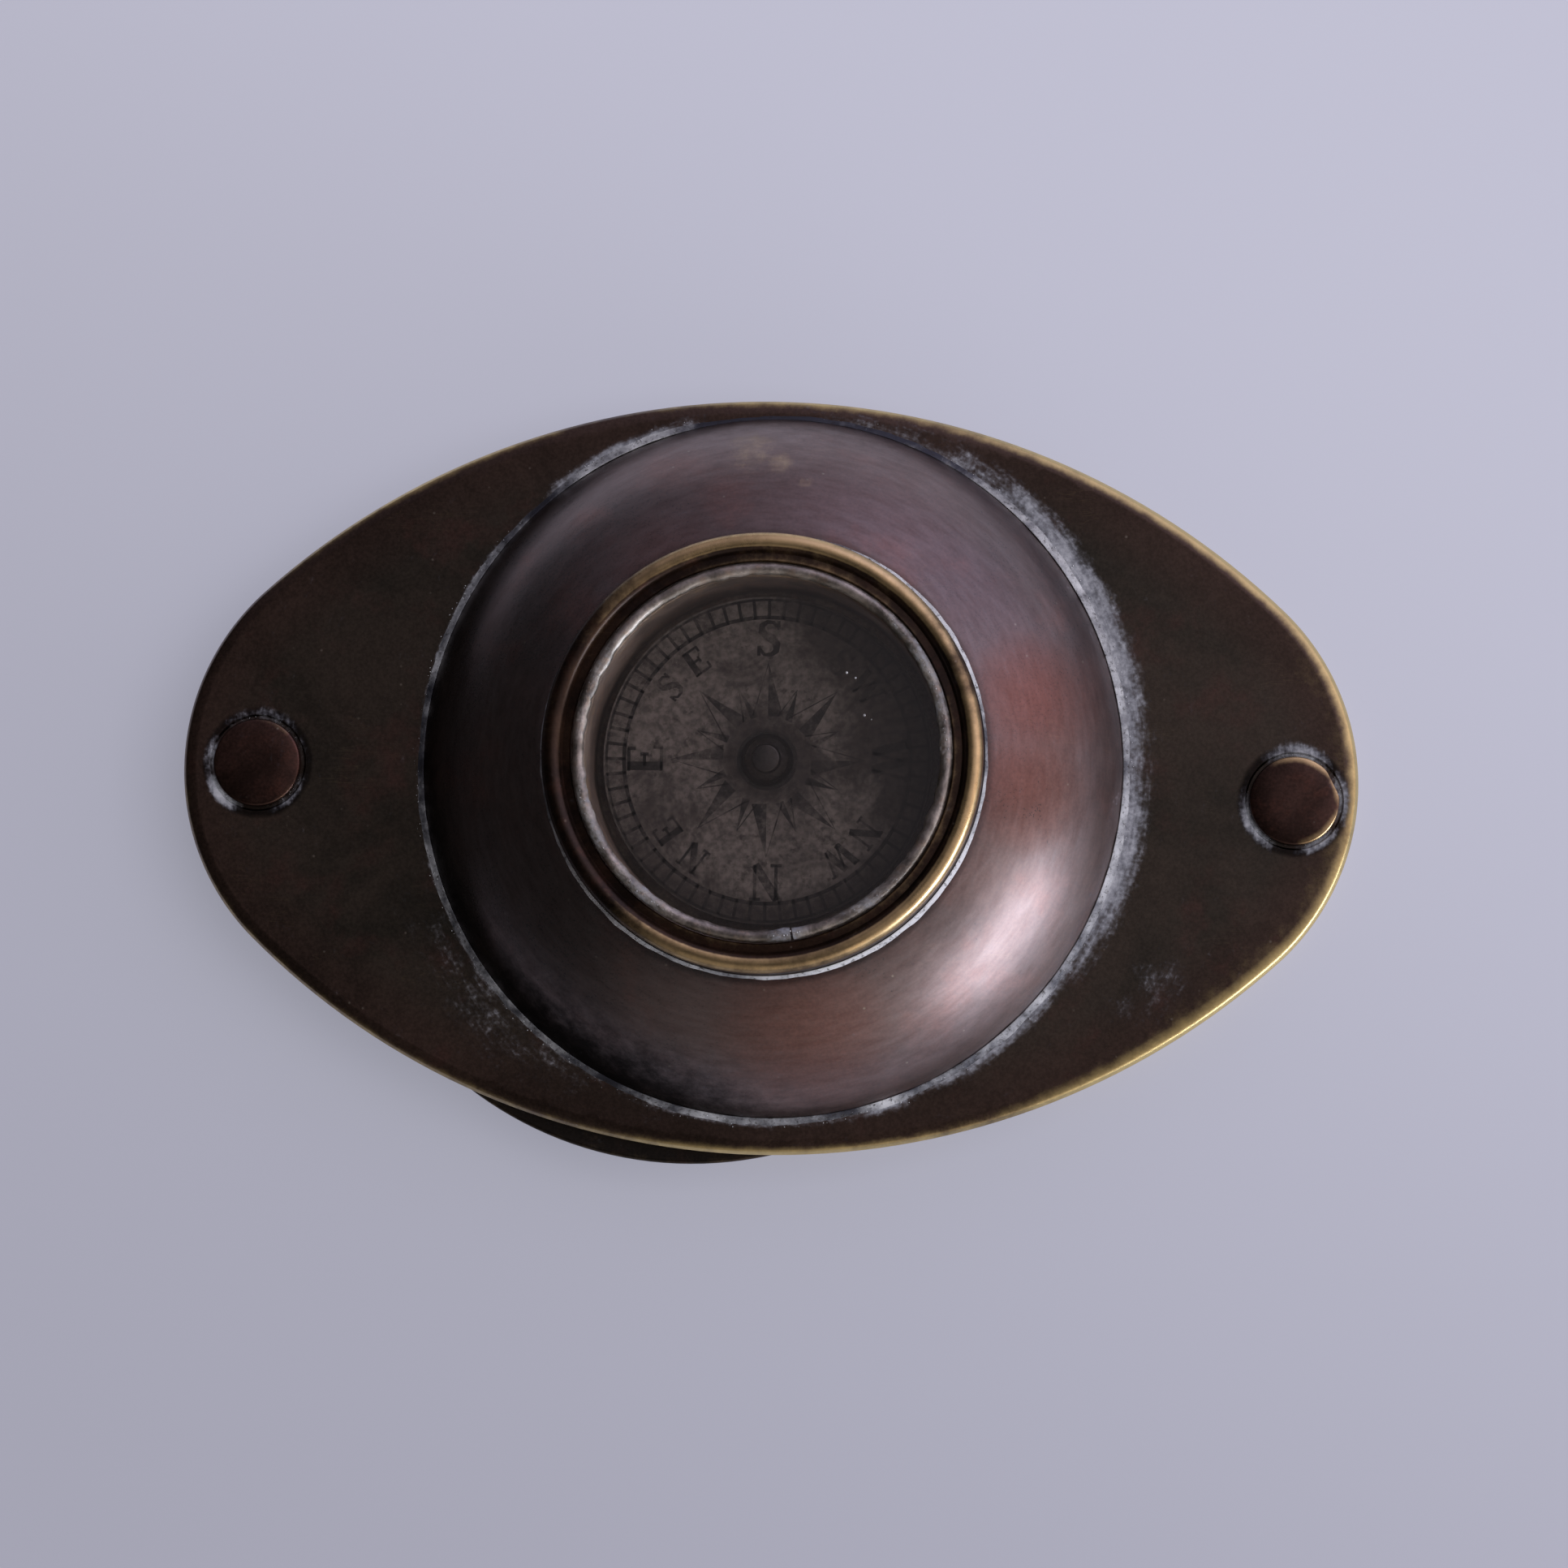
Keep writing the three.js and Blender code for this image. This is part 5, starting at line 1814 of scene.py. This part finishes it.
def window():
    low, radius = bottom_of("compass_glass"), radius_of("compass_glass")
    corners = [
        (0, low, 0, 0), (radius, low, PANE_ROUND, 0), (radius, glass_top, PANE_ROUND, 0),
        (0, glass_top, 0, 0),
    ]
    piece = turned("compass_glass_pane", corners, compass_centre, window_glass, False)
    keep(piece, "case", "window_glass", "compass_glass")


bowl()
pin()
tube("pin_boss", compass_centre, PIN_HOLE)
window()

# %% [markdown]
# ## Card
#
# The card is paper, stained and faded. Its right side is painted darker, as the bezel's shadow, the paper
# is darker round the cap, and a painted shadow darkens the rim towards the lower right. Its ink has come
# off in flecks, so the ink's recipe mixes the paper's own colour back in.

# %% Stains and painted shade on the card
SPOT_SCALE = 1300
# The card's right side is painted darker, as the shadow that the bezel casts on it.
SHADED_SIDE = (0.9, 0.44, 0)
# The card's rim is painted darker towards this side, as the shadow of the bowl's wall and the bezel.
RIM_SHADOW_SIDE = (0.5, -0.87, 0)
SHADE_EDGE = (0.002, 0.0065)  # metres from the axis to where the painted shade starts and is full
SHADE_RAGGED = 0.012  # metres that the painted shade's edge wanders
HUB_DARKENING = (0.0022, 0.0048)  # metres from the axis to where the darkening round the cap starts to fade and is gone
HUB_DARKENING_RAGGED = -0.006  # metres that the darkening's edge wanders, outwards where the blotches are strong
RIM_SHADOW_RADII = (0.0078, 0.0096)  # metres from the axis to where the rim's painted shadow starts and is full
RIM_SHADOW_FROM = (-0.005, 0.004)  # metres towards the shadowed side over which the rim's painted shadow grows


def strongest(tree, *values):
    best = values[0]
    for value in values[1:]:
        best = calculated(tree, "MAXIMUM", best, value)
    return best


# Painted shadow along the card's rim towards the lower right.
def dirty_rim(tree, from_axis, from_hub):
    below = vector_math(tree, "DOT_PRODUCT", from_axis, RIM_SHADOW_SIDE).outputs["Value"]
    rim = smooth_step(tree, from_hub, *RIM_SHADOW_RADII, 0, 0.9)
    return calculated(tree, "MULTIPLY", rim, smooth_step(tree, below, *RIM_SHADOW_FROM, 0.3, 1))


def stains_and_shade_on(tree, place, blotches):
    """How stained the paper is and how much shade is painted on it, from 0 to 1."""
    fine = cloud(tree, place, SPOT_SCALE, detail=4, roughness=0.7)
    wander = about_zero(tree, blotches)
    from_axis = vector_math(tree, "SUBTRACT", place, COMPASS_AXIS).outputs[0]
    across = vector_math(tree, "MULTIPLY", from_axis, (1, 1, 0)).outputs[0]
    from_hub = vector_math(tree, "LENGTH", across).outputs["Value"]
    # Painted shade on the card's right side, as the bezel's shadow.
    towards_shade = vector_math(tree, "DOT_PRODUCT", from_axis, SHADED_SIDE).outputs["Value"]
    painted_shade = calculated(tree, "MULTIPLY_ADD", wander, SHADE_RAGGED, towards_shade)
    hub_darkening = calculated(tree, "MULTIPLY_ADD", wander, HUB_DARKENING_RAGGED, from_hub)
    return strongest(
        tree,
        smooth_step(tree, fine, 0.54, 0.68, 0, 0.75),
        smooth_step(tree, blotches, 0.42, 0.68, 0, 0.8),
        smooth_step(tree, painted_shade, *SHADE_EDGE, 0, 0.95),
        smooth_step(tree, hub_darkening, *HUB_DARKENING, 0.95, 0),
        dirty_rim(tree, from_axis, from_hub),
    )


# How far from the axis the painted shade on the card's right side is full.
print("damp is full", SHADE_EDGE[1] / MM, "mm from the card's axis")

# %% Paper and ink
PAPER = (0.108, 0.087, 0.08, 1)
# Stains share this dark colour with the painted shade on the card's right side and rim.
STAIN_AND_SHADE = (0.024, 0.018, 0.016, 1)
INK = (0.012, 0.01, 0.009, 1)
BLOTCH_SCALE, FIBRE_SCALE = 230, 2400
ROUGH_SCALE, FADE_SCALE = 600, 700  # of the paper's sheen and the ink's flecks


def card_colour(tree, place):
    blotches = cloud(tree, place, BLOTCH_SCALE, detail=7, roughness=0.65, distortion=0.8)
    paper = mixed(tree, stains_and_shade_on(tree, place, blotches), PAPER, STAIN_AND_SHADE)
    fibres = smooth_step(tree, cloud(tree, place, FIBRE_SCALE, detail=3), 0.3, 0.7, 0.62, 1.38)
    return vector_math(tree, "MULTIPLY", paper, fibres).outputs[0]


def card_paper_material():
    material, tree, shader = new_material("card_paper")
    place = object_place(tree)
    rough = smooth_step(tree, cloud(tree, place, ROUGH_SCALE), 0.3, 0.7, 0.75, 0.95)
    tree.links.new(card_colour(tree, place), shader.inputs["Base Color"])
    tree.links.new(rough, shader.inputs["Roughness"])
    return material


def card_ink_material():
    material, tree, shader = new_material("card_ink")
    place = object_place(tree)
    faded = smooth_step(tree, cloud(tree, place, FADE_SCALE, detail=6, roughness=0.75), 0.42, 0.66, 0.0, 0.7)
    tree.links.new(mixed(tree, faded, INK, card_colour(tree, place)), shader.inputs["Base Color"])
    shader.inputs["Roughness"].default_value = 0.85
    return material


card_paper = card_paper_material()
card_ink = card_ink_material()
print(card_paper.name, "and", card_ink.name, "are ready")

# %% Card, cap and magnet
CARD_HEADING = math.radians(180.7)  # turn of the card's north point from +Y
CARD_HOLE = 1.05
CARD_ROUND = 0.05
CAP_STUD = 0.85
CAP_SEAT = 0.02  # the cap's skirt lies this far above the card
CAP_STEM, CAP_HOLLOW = 1.0, 0.6
MAGNET_HALF, MAGNET_WIDTH = 8, 3
MAGNET_WEAR = 0.3
card_top = top_of("compass_card")
card_radius = radius_of("compass_card")


def card():
    low = bottom_of("compass_card")
    corners = [
        (CARD_HOLE, low, 0, 0), (card_radius, low, CARD_ROUND, 0), (card_radius, card_top, CARD_ROUND, 0),
        (CARD_HOLE, card_top, 0, 0),
    ]
    piece = turned("compass_card_disc", corners, compass_centre, card_paper)
    keep(piece, "floating_card", "card_paper", "compass_card")


def cap():
    radius, high, low = radius_of("card_cap"), top_of("card_cap"), bottom_of("card_cap")
    skirt, shoulder = card_top + CAP_SEAT, card_top + 0.5 * (high - card_top)
    corners = [
        (0, high, 0, 0.1), (CAP_STUD, high - 0.1, 0.15, 0.2), (CAP_STUD + 0.08, high - 0.4, 0.08, 0),
        (radius * 0.8, shoulder, 0.3, 0.1), (radius, skirt, 0.1, 0.1), (CAP_STEM, skirt, 0, 0),
        (CAP_STEM, low, 0, 0), (CAP_HOLLOW, low, 0, 0), (CAP_HOLLOW, card_top - 0.2, 0, 0),
        (0, card_top + 0.6, 0, 0),
    ]
    piece = turned("card_cap_turned", corners, compass_centre, cap_brass, False)
    keep(piece, "floating_card", "cap_brass", "card_cap")


def from_card(x, y):
    """A place on the card, with its north point along +Y, in the object's own axes."""
    return compass_centre + Matrix.Rotation(CARD_HEADING, 2) @ Vector((x, y))


def magnet():
    side, shoulder = MAGNET_WIDTH / 2, MAGNET_HALF - MAGNET_WIDTH
    left = [(0, MAGNET_HALF), (-side, shoulder), (-side, -shoulder)]
    bar = [*left, *((-x, -y) for x, y in left)]
    low, high = bottom_of("magnet_bar"), top_of("magnet_bar")
    hole = [(CARD_HOLE, low, 0, MAGNET_WEAR), (CARD_HOLE, high, 0, MAGNET_WEAR)]
    edge = [(0, low, 0, MAGNET_WEAR), (0, high, 0, MAGNET_WEAR)]
    outline = [from_card(*spot) for spot in bar]
    piece = sheet_piece("magnet_bar_cut", lambda inset: outline, edge, [(compass_centre, hole)], pin_steel)
    keep(piece, "floating_card", "pin_steel", "magnet_bar")


card()
cap()
magnet()

# %% [markdown]
# ## Print on the card
#
# The dial is printed: a ring of divisions, a rose of eight long and eight short points with one dark half
# each, and serif letters with their tops outwards. The print is thin film on the card, faded in patches. The
# letters are drawn from strokes that swell and thin as a pen does, so that no font is needed.

# %% Film shapes
FILM_LOW, FILM_HIGH = card_top + 0.004, card_top + 0.02


def film_mesh(name, outlines):
    """Thin closed films over outlines of (x, y) points."""
    bm = bmesh.new()
    for outline in outlines:
        low = [bm.verts.new((x * MM, y * MM, FILM_LOW * MM)) for x, y in outline]
        high = [bm.verts.new((x * MM, y * MM, FILM_HIGH * MM)) for x, y in outline]
        bm.faces.new(low)
        bm.faces.new(high)
        bridge(bm, low, high)
    return mesh_from(bm, name)


def stroke(points, widths):
    """Outline of a pen stroke along points, with its own width at each."""
    left, right = [], []
    for index, point in enumerate(points):
        ahead = Vector(points[min(index + 1, len(points) - 1)]) - Vector(points[max(index - 1, 0)])
        side = Vector((-ahead.y, ahead.x)).normalized() * widths[index] / 2
        left.append(Vector(point) + side)
        right.append(Vector(point) - side)
    return left + right[::-1]


def repeated(name, outlines, count, turn=0.0):
    centre = (compass_centre.x * MM, compass_centre.y * MM, 0)
    values = {"Count": count, "Centre": centre, "Turn": CARD_HEADING + turn, "Material": card_ink}
    piece = grown(name, REPEAT, values, film_mesh(name, outlines))
    keep(piece, "floating_card", "card_paper")


print("film:", round(FILM_HIGH - FILM_LOW, 3), "mm thick")

# %% Divisions and rose
RING_IN, RING_OUT = 8.85, 10.0
RING_IN_WIDTH, RING_OUT_WIDTH = 0.24, 0.16
DIVISIONS = 64
DIVISION_HALF = 0.1  # of a division's width, and how far it runs into the outer ring
POINTS = 8  # of each length
LONG_POINT, SHORT_POINT = (6.1, 0.95), (4.8, 0.5)  # distance from the axis to the tip, and half width
POINT_FOOT = 2.75
POINT_EDGE = (0.09, 0.05)  # width of the light half's edge at its foot and its tip
HUB_IN, HUB_WIDTH = 1.15, 0.75


def dial_ring(name, radius, width):
    out = radius + width
    corners = [
        (radius, FILM_LOW, 0, 0), (out, FILM_LOW, 0, 0), (out, FILM_HIGH, 0, 0), (radius, FILM_HIGH, 0, 0),
    ]
    keep(turned(name, corners, compass_centre, card_ink), "floating_card", "card_paper")


def division():
    end = RING_OUT + DIVISION_HALF
    return [(-DIVISION_HALF, RING_IN), (DIVISION_HALF, RING_IN), (DIVISION_HALF, end), (-DIVISION_HALF, end)]


def rose_point(tip, half_width):
    """The dark half of a point along +Y, and the thin edge of its light half."""
    dark = [(0, POINT_FOOT), (half_width, POINT_FOOT), (0, tip)]
    light = stroke([(-half_width, POINT_FOOT), (0, tip)], POINT_EDGE)
    return [dark, light]


dial_ring("division_inner_ring", RING_IN, RING_IN_WIDTH)
dial_ring("division_outer_ring", RING_OUT, RING_OUT_WIDTH)
dial_ring("rose_hub", HUB_IN, HUB_WIDTH)
repeated("divisions", [division()], DIVISIONS)
repeated("rose_long_points", rose_point(*LONG_POINT), POINTS)
repeated("rose_short_points", rose_point(*SHORT_POINT), POINTS, math.pi / POINTS)

# %% Strokes of the letters, as points and widths in a box one unit high round the origin
THIN, THICK = 0.095, 0.25
STROKES = {
    "N": (
        ([(-0.3, -0.5), (-0.3, 0.5)], THIN), ([(-0.34, 0.5), (0.3, -0.5)], THICK),
        ([(0.3, -0.5), (0.3, 0.5)], THIN), ([(-0.48, 0.48), (-0.22, 0.48)], THIN),
        ([(-0.46, -0.48), (-0.14, -0.48)], THIN), ([(0.14, 0.48), (0.46, 0.48)], THIN),
    ),
    "E": (
        ([(-0.2, -0.5), (-0.2, 0.5)], THICK), ([(-0.34, 0.47), (0.3, 0.47)], THIN),
        ([(-0.34, -0.47), (0.34, -0.47)], THIN), ([(-0.2, 0.02), (0.14, 0.02)], THIN),
        ([(0.3, 0.5), (0.3, 0.27)], THIN), ([(0.34, -0.5), (0.34, -0.23)], THIN),
        ([(0.14, 0.14), (0.14, -0.1)], THIN),
    ),
    "W": (
        ([(-0.5, 0.5), (-0.24, -0.5)], THICK), ([(-0.24, -0.5), (0.0, 0.4)], THIN),
        ([(-0.02, 0.5), (0.25, -0.5)], THICK), ([(0.25, -0.5), (0.5, 0.5)], THIN),
        ([(-0.64, 0.48), (-0.36, 0.48)], THIN), ([(0.36, 0.48), (0.62, 0.48)], THIN),
    ),
    "S": (
        ([(0.27, 0.5), (0.27, 0.24)], THIN), ([(-0.29, -0.5), (-0.29, -0.22)], THIN),
        (
            [(0.25, 0.33), (0.12, 0.46), (-0.06, 0.47), (-0.2, 0.37), (-0.21, 0.2), (-0.07, 0.08)],
            (0.09, 0.1, 0.12, 0.18, 0.22, 0.25),
        ),
        (
            [
                (-0.07, 0.08), (0.1, -0.02), (0.22, -0.17), (0.2, -0.36), (0.06, -0.47), (-0.13, -0.46),
                (-0.27, -0.3),
            ],
            (0.25, 0.26, 0.22, 0.18, 0.12, 0.1, 0.09),
        ),
    ),
}
print("strokes:", {sign: len(strokes) for sign, strokes in STROKES.items()})

# %% Letters
LABELS = ("N", "NE", "E", "SE", "S", "SW", "W", "NW")
LETTER_RADIUS = 7.65
LETTER_TURN = math.radians(8.6)  # between a label's middle and each of its two letters
LARGE, SMALL = 2.2, 1.65


def letter(sign, bearing, offset, size):
    """Outlines of a letter at a bearing clockwise from north, with its top outwards."""
    angle = CARD_HEADING - bearing + offset
    middle = compass_centre + LETTER_RADIUS * Vector((-math.sin(angle), math.cos(angle)))
    turn = Matrix.Rotation(angle, 2)
    outlines = []
    for points, widths in STROKES[sign]:
        widths = widths if isinstance(widths, tuple) else (widths,) * len(points)
        outlines.append([middle + turn @ (size * spot) for spot in stroke(points, widths)])
    return outlines


def letters():
    outlines = []
    for index, label in enumerate(LABELS):
        bearing = index * 2 * math.pi / len(LABELS)
        if len(label) == 1:
            outlines += letter(label, bearing, 0, LARGE)
        else:
            outlines += letter(label[0], bearing, LETTER_TURN, SMALL)
            outlines += letter(label[1], bearing, -LETTER_TURN, SMALL)
    mesh = film_mesh("card_letters", outlines)
    mesh.materials.append(card_ink)
    keep(placed("card_letters", mesh), "floating_card", "card_paper")


letters()
